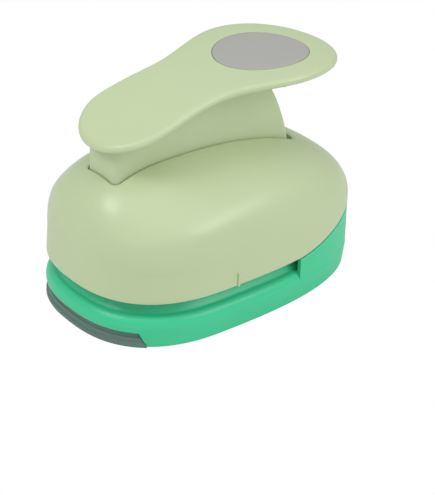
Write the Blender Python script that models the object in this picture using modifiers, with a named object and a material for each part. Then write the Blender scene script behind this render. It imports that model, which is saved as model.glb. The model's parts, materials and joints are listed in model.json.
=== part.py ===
"""Craft punch: a hand lever punch that cuts a round disc out of card.

The body is an egg-shaped base with a shell over it, and a throat between the two that is open at
the front and along both sides. The lever turns on a pin at the front (-X), its nose bears on a
spring-loaded press block, and the block drives the round steel punch down through the die plate.
Metres, +Z up, the long axis on X, the pad of the lever at the back (+X).
"""
import math

import bmesh
import bpy
from mathutils import Matrix, Vector

MM = 0.001

# Gaps and overruns
GAP = 0.3 * MM
OVERRUN = 2.0 * MM
BITE = 0.6 * MM

# The disc that the punch cuts, and where its middle lies
DISC_DIAMETER = 76.2 * MM
DIE_X = -18.0 * MM

# Plan outline of the body: an egg drawn round the disc, widest a little in front of it
FRONT_MARGIN = 25.2 * MM
BACK_MARGIN = 61.2 * MM
SIDE_MARGIN = 12.8 * MM
WIDEST_SHIFT = 5.1 * MM
FRONT_POWER = 2.47
BACK_POWER = 2.69
OUTLINE_POINTS = 60

# Base: outer profile, from the bottom edge over the rim to the deck
FOOT_LIFT = 0.8 * MM
BASE_BOTTOM_INSET = 0.8 * MM
BASE_BOTTOM_ROUND = 0.8 * MM
THROAT_FLOOR = 21.0 * MM
LEAD_IN_RISE = 4.4 * MM
LEAD_IN_INSET = 8.0 * MM
LEAD_IN_POWER = 1.4
RIM_SHOULDER_RISE = 5.6 * MM
RIM_SHOULDER_INSET = 4.5 * MM
RISER_INSET = 0.15 * MM
BASE_WALL = 2.6 * MM
DECK_THICKNESS = 3.0 * MM
CEILING_INSET = 7.2 * MM
DROP_HOLE_MARGIN = 1.5 * MM

# Plates of the die set
DIE_PLATE_THICKNESS = 2.6 * MM
DIE_RING_WIDTH = 3.1 * MM
THROAT_GAP = 1.6 * MM
GUIDE_PLATE_THICKNESS = 2.6 * MM
GUIDE_PLATE_INSET = 4.0 * MM
TONGUE_LENGTH = 30.0 * MM
TONGUE_HALF_WIDTH = 30.0 * MM
TONGUE_CORNER = 6.0 * MM
SPACER_OFFSET = 4.9 * MM
RING_POINTS = 48

# Shell over the base
SHELL_EDGE_RISE = 3.5 * MM
SHELL_WALL = 2.4 * MM
WALL_LEAN = 0.7 * MM
WALL_LEAN_POWER = 1.5
WALL_HEIGHT = 13.7 * MM
WALL_STEPS = 3
DOME_RISE = 44.5 * MM
DOME_FRONT_POWER = 2.65
DOME_BACK_POWER = 1.95
DOME_SIDE_POWER = 1.9
DOME_STEPS = 9
DOME_CAP_SHARE = 0.4
DOME_SHIFT = 4.1 * MM
THROAT_END_OFFSET = 3.9 * MM
PARTING_RISE = 14.0 * MM
PARTING_POWER = 1.5
PARTING_STATIONS = 14

# Mark on the shell's edge over the middle of the die
MARK_WIDTH = 1.3 * MM
MARK_HEIGHT = 7.5 * MM
MARK_PROUD = 0.7 * MM

# Bottom cover, with the stepped band that wraps the front of the base
COVER_THICKNESS = 1.8 * MM
COVER_HOLE_MARGIN = 2.4 * MM
BAND_RUN = 17.8 * MM
BAND_END_SLANT = 3.5 * MM
BAND_BELOW_RIM = 2.4 * MM
BAND_INSET = 0.1 * MM
BAND_STEP = 0.45 * MM
BAND_STEPS = 3
BAND_DEPTH = 3.2 * MM

# Lever: the pivot, the press nose and the travel
PIVOT_SETBACK = 23.8 * MM
PIVOT_RISE = 20.8 * MM
NOSE_RADIUS = 4.0 * MM
NOSE_LIFT = 4.7 * MM
BARREL_RADIUS = 5.0 * MM

# Lever: the skirt that fills the slot in the shell
SKIRT_FRONT_RUN = 5.7 * MM
SKIRT_HALF_WIDTH = 11.5 * MM
SKIRT_RADIUS = 104.3 * MM
SKIRT_CORNER = 3.2 * MM
SKIRT_WALL = 2.2 * MM
SKIRT_CHEEK_DROP = 7.0 * MM
SKIRT_CHEEK_LENGTH = 7.5 * MM
SKIRT_CHEEK_RUN = 6.0 * MM
SKIRT_EDGE_RISE = 6.0 * MM
SKIRT_STEPS = 8
RIB_THICKNESS = 1.8 * MM
SLOT_CLEARANCE = 0.6 * MM

# Lever: the paddle, an arched plate with a round front end, a waist and an oval pad
ARCH_RISE = 32.2 * MM
ARCH_RADIUS = 246.5 * MM
ARCH_TOP_SHIFT = 0.8 * MM
PADDLE_THICKNESS = 4.2 * MM
PADDLE_PLATE = 2.2 * MM
PADDLE_LIP = 2.6 * MM
PADDLE_EDGE_ROUND = 2.0 * MM
PADDLE_FRONT_OFFSET = 10.9 * MM
PADDLE_FRONT_LENGTH = 23.7 * MM
PADDLE_FRONT_HALF_WIDTH = 25.7 * MM
WAIST_OFFSET = 1.3 * MM
WAIST_HALF_WIDTH = 24.2 * MM
PAD_OFFSET = 87.7 * MM
PAD_LENGTH = 41.3 * MM
PAD_HALF_WIDTH = 35.1 * MM
PADDLE_RIB_PITCH = 18.0 * MM
ARCH_STATIONS = 24
EDGE_STEPS = 3
EDGE_SHARE = 0.98
TIP_SHARE = 0.35
TIP_DEPTH_SHARE = 0.25
BADGE_SHIFT = 1.3 * MM
BADGE_HALF_LENGTH = 25.0 * MM
BADGE_HALF_WIDTH = 21.7 * MM
BADGE_THICKNESS = 0.5 * MM

# Punch, press block and wear plate
PUNCH_HEIGHT = 8.0 * MM
PUNCH_RING = 3.5 * MM
PUNCH_TOP = 2.6 * MM
BLOCK_INSET = 5.1 * MM
BLOCK_THICKNESS = 3.0 * MM
PILLAR_HALF_LENGTH = 9.0 * MM
PILLAR_HALF_WIDTH = 8.3 * MM
WEAR_PLATE_THICKNESS = 1.0 * MM
WEAR_PLATE_MARGIN = 2.0 * MM
WEAR_POCKET_DEPTH = 0.8 * MM
ARM_WIDTH = 6.0 * MM
ARM_THICKNESS = 3.0 * MM
ARM_DROP = 5.9 * MM
ARM_WEB = 2.0 * MM
EAR_RADIUS = 4.2 * MM

# Guide posts and the return springs round them
POST_OFFSET = 7.9 * MM
POST_ANGLE = 42.4
POST_RADIUS = 1.5 * MM
POST_RISE = 3.0 * MM
SPRING_RADIUS = 2.7 * MM
SPRING_WIRE_RADIUS = 0.45 * MM
SPRING_TURNS = 5
SPRING_POINTS_PER_TURN = 8

# Pivot bracket, pin and clip
BRACKET_SHEET = 1.6 * MM
BRACKET_SETBACK = 7.3 * MM
BRACKET_TO_PUNCH = 2.7 * MM
BRACKET_NOSE_RUN = 6.0 * MM
BRACKET_EDGE = 4.5 * MM
BRACKET_NOSE_DRAW = 8.0 * MM
EAR_FOOT_OVERLAP = 0.6 * MM
EAR_FOOT_RISE = 7.0 * MM
EAR_TOP_RADIUS = 6.0 * MM
PIN_RADIUS = 2.5 * MM
PIN_HEAD_RADIUS = 4.0 * MM
PIN_HEAD_THICKNESS = 1.2 * MM
PIN_END = 2.4 * MM
GROOVE_DEPTH = 0.5 * MM
CLIP_THICKNESS = 0.6 * MM
CLIP_RADIUS = 4.4 * MM
CLIP_OPENING = 3.0 * MM

# Screws, bosses and feet
SCREW_RADIUS = 1.5 * MM
SCREW_HEAD_RADIUS = 2.8 * MM
SCREW_HEAD_HEIGHT = 1.7 * MM
COVER_SCREW_RADIUS = 1.1 * MM
COVER_SCREW_HEAD_RADIUS = 2.2 * MM
COVER_SCREW_HEAD_HEIGHT = 0.8 * MM
COVER_SCREW_LENGTH = 9.0 * MM
COUNTERBORE_DEPTH = 1.1 * MM
DRIVE_WIDTH = 0.7 * MM
DRIVE_DEPTH_SHARE = 0.5
DRIVE_REACH_SHARE = 0.55
HEAD_TOP_SHARE = 0.8
SCREW_SIDES = 12
DIE_SIDES = 48
BOSS_WALL = 2.0 * MM
DIE_SCREW_OFFSET = 12.0 * MM
DIE_SCREW_PITCH = 12.5 * MM
DIE_SCREW_Y = 20.0 * MM
DIE_SCREW_LENGTH = 15.0 * MM
PUNCH_SCREW_INSET = 16.1 * MM
PUNCH_SCREW_LENGTH = 5.4 * MM
FRONT_SCREW_SETBACK = 13.3 * MM
FRONT_SCREW_OFFSET = 7.1 * MM
FRONT_SCREW_LENGTH = 14.0 * MM
BACK_SCREW_SETBACK = 14.5 * MM
BACK_SCREW_Y = 20.0 * MM
BACK_SCREW_LENGTH = 34.0 * MM
BACK_POST_RISE = 4.8 * MM
BACK_POST_LIFT = 1.4 * MM
BACK_HEAD_DEPTH = 4.0 * MM
COVER_SCREW_FRONT_Y = 9.0 * MM
COVER_SCREW_MARGIN = 19.9 * MM
FOOT_RADIUS = 4.0 * MM
FOOT_POCKET_DEPTH = 0.8 * MM
FOOT_SETBACK = 14.3 * MM
FOOT_MARGIN = 26.9 * MM
FOOT_BACK_Y = 12.0 * MM

# Plan of the body, from the disc outwards
DISC_RADIUS = DISC_DIAMETER / 2
DIE_RADIUS = DISC_RADIUS + GAP
DISC_FRONT_X = DIE_X - DISC_RADIUS
DISC_BACK_X = DIE_X + DISC_RADIUS
FRONT_X = DISC_FRONT_X - FRONT_MARGIN
BACK_X = DISC_BACK_X + BACK_MARGIN
WIDEST_X = DIE_X - WIDEST_SHIFT
HALF_WIDTH = DISC_RADIUS + SIDE_MARGIN
TONGUE_END_X = DISC_BACK_X + TONGUE_LENGTH
THROAT_END_X = DISC_BACK_X + THROAT_END_OFFSET
BAND_END_X = FRONT_X + BAND_RUN

# Heights, from the throat downwards and upwards
RIM_SHOULDER_HEIGHT = THROAT_FLOOR - LEAD_IN_RISE
RIM_HEIGHT = RIM_SHOULDER_HEIGHT - RIM_SHOULDER_RISE
BAND_TOP = RIM_HEIGHT - BAND_BELOW_RIM
DIE_PLATE_BOTTOM = THROAT_FLOOR - DIE_PLATE_THICKNESS
POCKET_FLOOR = DIE_PLATE_BOTTOM - GAP
DECK_BOTTOM = POCKET_FLOOR - DECK_THICKNESS
COVER_TOP = FOOT_LIFT + COVER_THICKNESS
SHELL_EDGE = THROAT_FLOOR + SHELL_EDGE_RISE
WALL_TOP = SHELL_EDGE + WALL_HEIGHT
BODY_TOP = WALL_TOP + DOME_RISE
GUIDE_BOTTOM = THROAT_FLOOR + THROAT_GAP
GUIDE_TOP = GUIDE_BOTTOM + GUIDE_PLATE_THICKNESS
PUNCH_BOTTOM = GUIDE_BOTTOM + GAP
PUNCH_LID = PUNCH_BOTTOM + PUNCH_HEIGHT
BLOCK_BOTTOM = PUNCH_LID + GAP
BLOCK_TOP = BLOCK_BOTTOM + BLOCK_THICKNESS
PIVOT_HEIGHT = GUIDE_TOP + PIVOT_RISE
NOSE_HEIGHT = PIVOT_HEIGHT + NOSE_LIFT
WEAR_PLATE_TOP = NOSE_HEIGHT - NOSE_RADIUS - GAP
WEAR_PLATE_BOTTOM = WEAR_PLATE_TOP - WEAR_PLATE_THICKNESS
PILLAR_TOP = WEAR_PLATE_BOTTOM - GAP + WEAR_POCKET_DEPTH
ARM_BOTTOM = PILLAR_TOP - ARM_DROP
POST_TOP = ARM_BOTTOM + ARM_THICKNESS + POST_RISE
SKIRT_BOTTOM = PIVOT_HEIGHT - SKIRT_CHEEK_DROP
SKIRT_EDGE = PIVOT_HEIGHT + SKIRT_EDGE_RISE
ARCH_TOP = BODY_TOP + ARCH_RISE

# Lever and bracket, from the pivot backwards
PIVOT_X = FRONT_X + PIVOT_SETBACK
SKIRT_FRONT_X = PIVOT_X - SKIRT_FRONT_RUN
SKIRT_CHEEK_X = PIVOT_X + SKIRT_CHEEK_LENGTH
SLOT_BACK_X = PIVOT_X + SKIRT_RADIUS + GAP
PADDLE_FRONT_X = PIVOT_X + PADDLE_FRONT_OFFSET
WAIST_X = DIE_X + WAIST_OFFSET
PAD_X = PIVOT_X + PAD_OFFSET
ARCH_TOP_X = PAD_X + ARCH_TOP_SHIFT
BADGE_X = PAD_X + BADGE_SHIFT
BRACKET_FRONT_X = FRONT_X + BRACKET_SETBACK
BRACKET_BACK_X = DISC_FRONT_X - BRACKET_TO_PUNCH
EAR_FOOT_BACK_X = DISC_FRONT_X + EAR_FOOT_OVERLAP
BRACKET_BOTTOM = GUIDE_TOP + GAP
BRACKET_TOP = BRACKET_BOTTOM + BRACKET_SHEET
EAR_INNER = SKIRT_HALF_WIDTH + GAP
EAR_OUTER = EAR_INNER + BRACKET_SHEET
BLOCK_RADIUS = DISC_RADIUS - BLOCK_INSET
SPACER_FRONT_RADIUS = DISC_RADIUS + SPACER_OFFSET

# Screws, bosses and feet, from the edges that they stand near
SCREW_HOLE = SCREW_RADIUS + GAP
COVER_SCREW_HOLE = COVER_SCREW_RADIUS + GAP
BOSS_RADIUS = SCREW_HOLE + BOSS_WALL
COVER_BOSS_RADIUS = COVER_SCREW_HOLE + BOSS_WALL
BACK_BOSS_RADIUS = SCREW_HEAD_RADIUS + GAP + BOSS_WALL
COVER_INSET = BASE_BOTTOM_INSET + BASE_WALL + GAP
DIE_SCREW_X = DISC_BACK_X + DIE_SCREW_OFFSET
DIE_SCREW_BACK_X = DIE_SCREW_X + DIE_SCREW_PITCH
FRONT_SCREW_X = FRONT_X + FRONT_SCREW_SETBACK
FRONT_SCREW_Y = EAR_OUTER + FRONT_SCREW_OFFSET
BRACKET_HALF_WIDTH = FRONT_SCREW_Y + BRACKET_EDGE
BRACKET_NOSE_HALF_WIDTH = BRACKET_HALF_WIDTH - BRACKET_NOSE_DRAW
BACK_SCREW_X = BACK_X - BACK_SCREW_SETBACK
BACK_POST_TOP = GUIDE_TOP + BACK_POST_RISE
BACK_POST_BOTTOM = COVER_TOP + BACK_POST_LIFT
BACK_HEAD_SEAT = BACK_POST_BOTTOM + BACK_HEAD_DEPTH
COVER_SCREW_BACK_Y = HALF_WIDTH - COVER_SCREW_MARGIN
FOOT_FRONT_X = FRONT_X + FOOT_SETBACK
FOOT_FRONT_Y = HALF_WIDTH - FOOT_MARGIN
FOOT_BACK_X = BACK_X - FOOT_SETBACK
SIDES = (-1, 1)


def start_scene():
    """Empty the file and make the collections for the parts and for the tools that shape them."""
    for thing in list(bpy.data.objects):
        bpy.data.objects.remove(thing, do_unlink=True)
    homes = []
    for name in ("craft_punch", "cutters"):
        home = bpy.data.collections.new(name)
        bpy.context.scene.collection.children.link(home)
        homes.append(home)
    return homes


PARTS, CUTTERS = start_scene()


def paint(name, colour, roughness, metallic=0.0):
    """A plain Principled material."""
    stuff = bpy.data.materials.new(name)
    stuff.use_nodes = True
    shader = stuff.node_tree.nodes["Principled BSDF"]
    shader.inputs["Base Color"].default_value = (*colour, 1.0)
    shader.inputs["Roughness"].default_value = roughness
    shader.inputs["Metallic"].default_value = metallic
    stuff.diffuse_color = (*colour, 1.0)
    return stuff


MINT = paint("mint_plastic", (0.57, 0.68, 0.42), 0.32)
TEAL = paint("teal_plastic", (0.09, 0.56, 0.33), 0.3)
SMOKE = paint("smoke_plastic", (0.16, 0.25, 0.23), 0.25)
GREY = paint("badge_grey", (0.42, 0.42, 0.41), 0.45)
WHITE = paint("block_plastic", (0.75, 0.75, 0.72), 0.4)
STEEL = paint("steel", (0.56, 0.57, 0.58), 0.3, 1.0)
ZINC = paint("zinc_plated_steel", (0.66, 0.66, 0.62), 0.35, 1.0)
SPRING_STEEL = paint("spring_steel", (0.45, 0.45, 0.47), 0.28, 1.0)
RUBBER = paint("rubber", (0.03, 0.03, 0.03), 0.85)


def place(name, mesh, stuff=None):
    """Wrap a mesh in an object: a part if it has a material, otherwise a tool for a Boolean."""
    thing = bpy.data.objects.new(name, mesh)
    if stuff is None:
        CUTTERS.objects.link(thing)
        thing.hide_render = True
        thing.display_type = "WIRE"
    else:
        mesh.materials.append(stuff)
        PARTS.objects.link(thing)
    return thing


def from_bmesh(name, shape, stuff=None):
    """Turn a bmesh into a smooth-shaded object with sharp edges kept sharp."""
    mesh = bpy.data.meshes.new(name)
    shape.to_mesh(mesh)
    shape.free()
    mesh.shade_smooth()
    mesh.set_sharp_from_angle(angle=math.radians(35))
    return place(name, mesh, stuff)


def boolean(target, tool, operation="DIFFERENCE"):
    """Cut a tool out of the target, or join or intersect the two."""
    step = target.modifiers.new(tool.name, "BOOLEAN")
    step.operation = operation
    step.object = tool
    step.solver = "EXACT"


def set_origin(thing, point):
    """Move an object's origin without moving its shape."""
    thing.data.transform(Matrix.Translation(-Vector(point)))
    thing.location = point


def loft(name, rings, stuff=None):
    """Skin rings that have the same number of points, and close both ends."""
    shape = bmesh.new()
    rows = [[shape.verts.new(point) for point in ring] for ring in rings]
    for lower, upper in zip(rows, rows[1:]):
        for i, corner in enumerate(lower):
            j = (i + 1) % len(lower)
            shape.faces.new((corner, lower[j], upper[j], upper[i]))
    shape.faces.new(rows[0])
    shape.faces.new(rows[-1])
    bmesh.ops.recalc_face_normals(shape, faces=shape.faces)
    return from_bmesh(name, shape, stuff)


def outline_solid(name, points, bottom, top, stuff=None):
    """A filled 2D curve extruded from bottom to top, as a mesh."""
    curve = bpy.data.curves.new(name, "CURVE")
    curve.dimensions = "2D"
    curve.fill_mode = "BOTH"
    curve.extrude = (top - bottom) / 2
    spline = curve.splines.new("POLY")
    spline.points.add(len(points) - 1)
    for knot, (x, y) in zip(spline.points, points):
        knot.co = (x, y, 0, 1)
    spline.use_cyclic_u = True
    return curve_to_object(name, curve, Matrix.Translation((0, 0, (bottom + top) / 2)), stuff)


def side_solid(name, points, half_width, stuff=None, middle=0.0):
    """An outline in the XZ plane, extruded to both sides along Y."""
    curve = bpy.data.curves.new(name, "CURVE")
    curve.dimensions = "2D"
    curve.fill_mode = "BOTH"
    curve.extrude = half_width
    spline = curve.splines.new("POLY")
    spline.points.add(len(points) - 1)
    for knot, (x, z) in zip(spline.points, points):
        knot.co = (x, z, 0, 1)
    spline.use_cyclic_u = True
    upright = Matrix.Translation((0, middle, 0)) @ Matrix.Rotation(math.radians(90), 4, "X")
    return curve_to_object(name, curve, upright, stuff)


def curve_to_object(name, curve, matrix, stuff=None):
    """Make a closed mesh from a curve: evaluate it, weld its caps and move it into place."""
    guide = bpy.data.objects.new(name, curve)
    CUTTERS.objects.link(guide)
    bpy.context.view_layer.update()
    evaluated = guide.evaluated_get(bpy.context.evaluated_depsgraph_get())
    mesh = bpy.data.meshes.new_from_object(evaluated)
    bpy.data.objects.remove(guide, do_unlink=True)
    bpy.data.curves.remove(curve)
    shape = bmesh.new()
    shape.from_mesh(mesh)
    bpy.data.meshes.remove(mesh)
    bmesh.ops.remove_doubles(shape, verts=shape.verts, dist=MM / 100)
    bmesh.ops.recalc_face_normals(shape, faces=shape.faces)
    bmesh.ops.transform(shape, matrix=matrix, verts=shape.verts)
    return from_bmesh(name, shape, stuff)


def cylinder(name, radius, bottom, top, at=(0.0, 0.0), stuff=None, sides=32):
    """An upright cylinder."""
    shape = bmesh.new()
    middle = Matrix.Translation((at[0], at[1], (bottom + top) / 2))
    bmesh.ops.create_cone(shape, cap_ends=True, segments=sides, radius1=radius, radius2=radius,
                          depth=top - bottom, matrix=middle)
    return from_bmesh(name, shape, stuff)


def cross_cylinder(name, radius, half_width, at, stuff=None, sides=32):
    """A cylinder that lies along Y, centred at a point in the XZ plane."""
    shape = bmesh.new()
    turn = Matrix.Translation((at[0], 0, at[1])) @ Matrix.Rotation(math.radians(90), 4, "X")
    bmesh.ops.create_cone(shape, cap_ends=True, segments=sides, radius1=radius, radius2=radius,
                          depth=half_width * 2, matrix=turn)
    return from_bmesh(name, shape, stuff)


def box(name, low, high, stuff=None):
    """A box from its low corner to its high corner."""
    shape = bmesh.new()
    low, high = Vector(low), Vector(high)
    size = high - low
    scale = Matrix.Diagonal((*size, 1.0))
    bmesh.ops.create_cube(shape, size=1.0, matrix=Matrix.Translation((low + high) / 2) @ scale)
    return from_bmesh(name, shape, stuff)


def turned(name, profile, at, stuff, sides=SCREW_SIDES):
    """A profile of (radius, height) points, from the top down its outer side, turned round Z."""
    shape = bmesh.new()
    knots = [shape.verts.new((radius, 0, height)) for radius, height in profile]
    for upper, lower in zip(knots, knots[1:]):
        shape.edges.new((upper, lower))
    mesh = bpy.data.meshes.new(name)
    shape.to_mesh(mesh)
    shape.free()
    thing = place(name, mesh, stuff)
    thing.location = at
    step = thing.modifiers.new("turn", "SCREW")
    step.steps = sides
    step.render_steps = sides
    step.use_merge_vertices = True
    step.merge_threshold = 0.00001
    step.use_smooth_shade = False
    return thing


def egg(inset, height, scales=(1.0, 1.0, 1.0), shift=0.0):
    """The body's plan outline at a height, drawn in by an inset, then scaled front, back and side."""
    front_scale, back_scale, side_scale = scales
    ring = []
    for i in range(OUTLINE_POINTS):
        angle = 2 * math.pi * i / OUTLINE_POINTS
        along, across = math.cos(angle), math.sin(angle)
        if along > 0:
            length, power, scale = BACK_X - WIDEST_X, BACK_POWER, back_scale
        else:
            length, power, scale = WIDEST_X - FRONT_X, FRONT_POWER, front_scale
        x = math.copysign(abs(along) ** (2 / power), along) * (length - inset) * scale
        y = math.copysign(abs(across) ** (2 / power), across) * (HALF_WIDTH - inset) * side_scale
        ring.append((WIDEST_X + x + shift, y, height))
    return ring


def wall_inset(height):
    """How far the shell's wall, and the back of the base below it, lean in at a height."""
    share = max(height - RIM_HEIGHT, 0) / (WALL_TOP - RIM_HEIGHT)
    return WALL_LEAN * share ** WALL_LEAN_POWER


def wall_rings(inset, low):
    """Rings up the leaning wall, from a low height to the top of the wall."""
    heights = [low + (WALL_TOP - low) * i / WALL_STEPS for i in range(WALL_STEPS + 1)]
    return [egg(wall_inset(height) + inset, height) for height in heights]


def dome_rings(inset):
    """Rings over the dome, from the top of the wall to a small cap."""
    rings = []
    for i in range(1, DOME_STEPS + 1):
        share = math.sin(math.radians(90) * i / (DOME_STEPS + DOME_CAP_SHARE))
        height = WALL_TOP + (DOME_RISE - inset) * share
        scales = [(1 - share ** power) ** (1 / power)
                  for power in (DOME_FRONT_POWER, DOME_BACK_POWER, DOME_SIDE_POWER)]
        shift = DOME_SHIFT * (scales[2] - 1)
        rings.append(egg(wall_inset(WALL_TOP) + inset, height, scales, shift))
    return rings


def parting_height(x):
    """Where the shell's lower edge runs: level along the throat, rising towards the back."""
    share = max(x - THROAT_END_X, 0) / (BACK_X - THROAT_END_X)
    return SHELL_EDGE + PARTING_RISE * share ** PARTING_POWER


def parting_prism(name, offset, far):
    """The space on one side of the parting line, as a cutter: up or down to a far height."""
    left, right = FRONT_X - OVERRUN, BACK_X + OVERRUN
    line = [(left, SHELL_EDGE + offset)]
    for i in range(PARTING_STATIONS + 1):
        x = THROAT_END_X + (right - THROAT_END_X) * i / PARTING_STATIONS
        line.append((x, parting_height(x) + offset))
    return side_solid(name, line + [(right, far), (left, far)], HALF_WIDTH + OVERRUN)


def screw_places():
    """Where each kind of screw stands, as (x, y) points."""
    die = [(x, y * DIE_SCREW_Y) for x in (DIE_SCREW_X, DIE_SCREW_BACK_X) for y in SIDES]
    punch = []
    for i in range(4):
        angle = math.radians(45 + 90 * i)
        circle = DISC_RADIUS - PUNCH_SCREW_INSET
        punch.append((DIE_X + circle * math.cos(angle), circle * math.sin(angle)))
    front = [(FRONT_SCREW_X, y * FRONT_SCREW_Y) for y in SIDES]
    back = [(BACK_SCREW_X, y * BACK_SCREW_Y) for y in SIDES]
    cover = [(FRONT_SCREW_X, y * COVER_SCREW_FRONT_Y) for y in SIDES]
    cover += [(DIE_SCREW_BACK_X, y * COVER_SCREW_BACK_Y) for y in SIDES]
    return die, punch, front, back, cover


def post_places():
    """Where the guide posts stand, as (x, y) points outside the disc."""
    circle = DISC_RADIUS + POST_OFFSET
    along = circle * math.cos(math.radians(POST_ANGLE))
    across = circle * math.sin(math.radians(POST_ANGLE))
    return [(DIE_X + x * along, y * across) for x in SIDES for y in SIDES]


def foot_places():
    """Where the rubber feet stand, as (x, y) points."""
    front = [(FOOT_FRONT_X, y * FOOT_FRONT_Y) for y in SIDES]
    return front + [(FOOT_BACK_X, y * FOOT_BACK_Y) for y in SIDES]


DIE_SCREWS, PUNCH_SCREWS, FRONT_SCREWS, BACK_SCREWS, COVER_SCREWS = screw_places()
POSTS = post_places()
FEET = foot_places()


def drill(target, points, radius, bottom, top, label):
    """Cut a round hole through the target at each point."""
    for i, point in enumerate(points):
        hole = cylinder(f"cut_{target.name}_{label}_{i + 1}", radius, bottom, top, point,
                        sides=SCREW_SIDES)
        boolean(target, hole)


def base_profile():
    """The outside of the base as (inset, height) points, from the bottom edge to the deck."""
    profile = []
    for i in range(3):
        turn = math.radians(45) * i
        profile.append((BASE_BOTTOM_INSET + BASE_BOTTOM_ROUND * (1 - math.sin(turn)),
                        FOOT_LIFT + BASE_BOTTOM_ROUND * (1 - math.cos(turn))))
    for i in range(5):
        turn = math.radians(90) * i / 4
        profile.append((RIM_SHOULDER_INSET * (1 - math.cos(turn)),
                        RIM_HEIGHT + RIM_SHOULDER_RISE * math.sin(turn)))
    for i in range(1, 4):
        share = i / 3
        profile.append((RIM_SHOULDER_INSET + (LEAD_IN_INSET - RIM_SHOULDER_INSET) * share,
                        RIM_SHOULDER_HEIGHT + LEAD_IN_RISE * share ** LEAD_IN_POWER))
    return profile


def plate_outline(radius, margin=0.0):
    """Outline of the die plate: round about the die, with a square tongue to the back."""
    shape = bmesh.new()
    reach = radius + margin
    for i in range(RING_POINTS):
        angle = 2 * math.pi * i / RING_POINTS
        shape.verts.new((DIE_X + reach * math.cos(angle), reach * math.sin(angle), 0))
    corner = TONGUE_CORNER + margin
    for side in SIDES:
        for i in range(5):
            angle = math.radians(90) * i / 4
            x = TONGUE_END_X + margin - corner + corner * math.sin(angle)
            y = TONGUE_HALF_WIDTH + margin - corner + corner * math.cos(angle)
            shape.verts.new((x, side * y, 0))
    hull = bmesh.ops.convex_hull(shape, input=shape.verts)
    kept = {v for f in hull["geom"] if isinstance(f, bmesh.types.BMFace) for v in f.verts}
    points = sorted(kept, key=lambda v: math.atan2(v.co.y, v.co.x - DIE_X))
    outline = [(v.co.x, v.co.y) for v in points]
    shape.free()
    return outline


def make_base():
    """The moulded base: walls and rim, the deck that carries the die plate, and the high back."""
    base = loft("base", [egg(inset, height) for inset, height in base_profile()], TEAL)
    riser = loft("join_base_riser", wall_rings(RISER_INSET, RIM_HEIGHT + GAP))
    riser_room = loft("cut_riser_room", wall_rings(BASE_WALL, RIM_HEIGHT - OVERRUN))
    boolean(riser, riser_room)
    boolean(riser, parting_prism("cut_riser_top", -GAP / 2, BODY_TOP))
    front_of_riser = box("cut_riser_front", (FRONT_X - OVERRUN, -HALF_WIDTH - OVERRUN, 0),
                         (THROAT_END_X, HALF_WIDTH + OVERRUN, BODY_TOP))
    boolean(riser, front_of_riser)
    boolean(base, riser, "UNION")
    room = [egg(BASE_BOTTOM_INSET + BASE_WALL, FOOT_LIFT - OVERRUN),
            egg(BASE_BOTTOM_INSET + BASE_WALL, COVER_TOP),
            egg(BASE_WALL + GAP, RIM_HEIGHT - BASE_WALL),
            egg((BASE_WALL + CEILING_INSET) / 2, (RIM_HEIGHT + DECK_BOTTOM) / 2),
            egg(CEILING_INSET, DECK_BOTTOM)]
    boolean(base, loft("cut_base_room", room))
    outline = plate_outline(DISC_RADIUS + GAP + DIE_RING_WIDTH, GAP)
    boolean(base, outline_solid("cut_die_pocket", outline, POCKET_FLOOR, GUIDE_BOTTOM))
    boolean(base, cylinder("cut_drop_hole", DISC_RADIUS + DROP_HOLE_MARGIN, 0, BODY_TOP, (DIE_X, 0),
                           sides=DIE_SIDES))
    boolean(base, side_solid("cut_band_room", band_side(FRONT_X - OVERRUN, 0, GAP), HALF_WIDTH))
    deck_middle = DECK_BOTTOM + DECK_THICKNESS / 2
    for i, place_of in enumerate(DIE_SCREWS):
        boss = cylinder(f"join_die_boss_{i + 1}", BOSS_RADIUS, GUIDE_TOP - DIE_SCREW_LENGTH - OVERRUN,
                        deck_middle, place_of, sides=SCREW_SIDES)
        boolean(base, boss, "UNION")
    for i, place_of in enumerate(BACK_SCREWS):
        post = cylinder(f"join_back_post_{i + 1}", BACK_BOSS_RADIUS, BACK_POST_BOTTOM, BACK_POST_TOP,
                        place_of, sides=SCREW_SIDES)
        boolean(base, post, "UNION")
    for i, place_of in enumerate(COVER_SCREWS):
        boss = cylinder(f"join_cover_boss_{i + 1}", COVER_BOSS_RADIUS, COVER_TOP + GAP, deck_middle,
                        place_of, sides=SCREW_SIDES)
        boolean(base, boss, "UNION")
    drill(base, DIE_SCREWS, SCREW_HOLE, FOOT_LIFT, GUIDE_TOP, "die_screw")
    drill(base, BACK_SCREWS, SCREW_HOLE, 0, BODY_TOP, "back_screw")
    drill(base, BACK_SCREWS, SCREW_HEAD_RADIUS + GAP, 0, BACK_HEAD_SEAT, "back_head")
    drill(base, COVER_SCREWS, COVER_SCREW_HOLE, 0, COVER_TOP + COVER_SCREW_LENGTH, "cover_screw")
    return base


def band_side(far, back_off, above):
    """Side view of the space before or behind the band's slanted end, out to a far station."""
    top = BAND_TOP + above
    foot = BAND_END_X - back_off
    slope = BAND_END_SLANT / BAND_TOP
    return [(far, -OVERRUN), (foot + OVERRUN * slope, -OVERRUN), (foot - top * slope, top), (far, top)]


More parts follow.
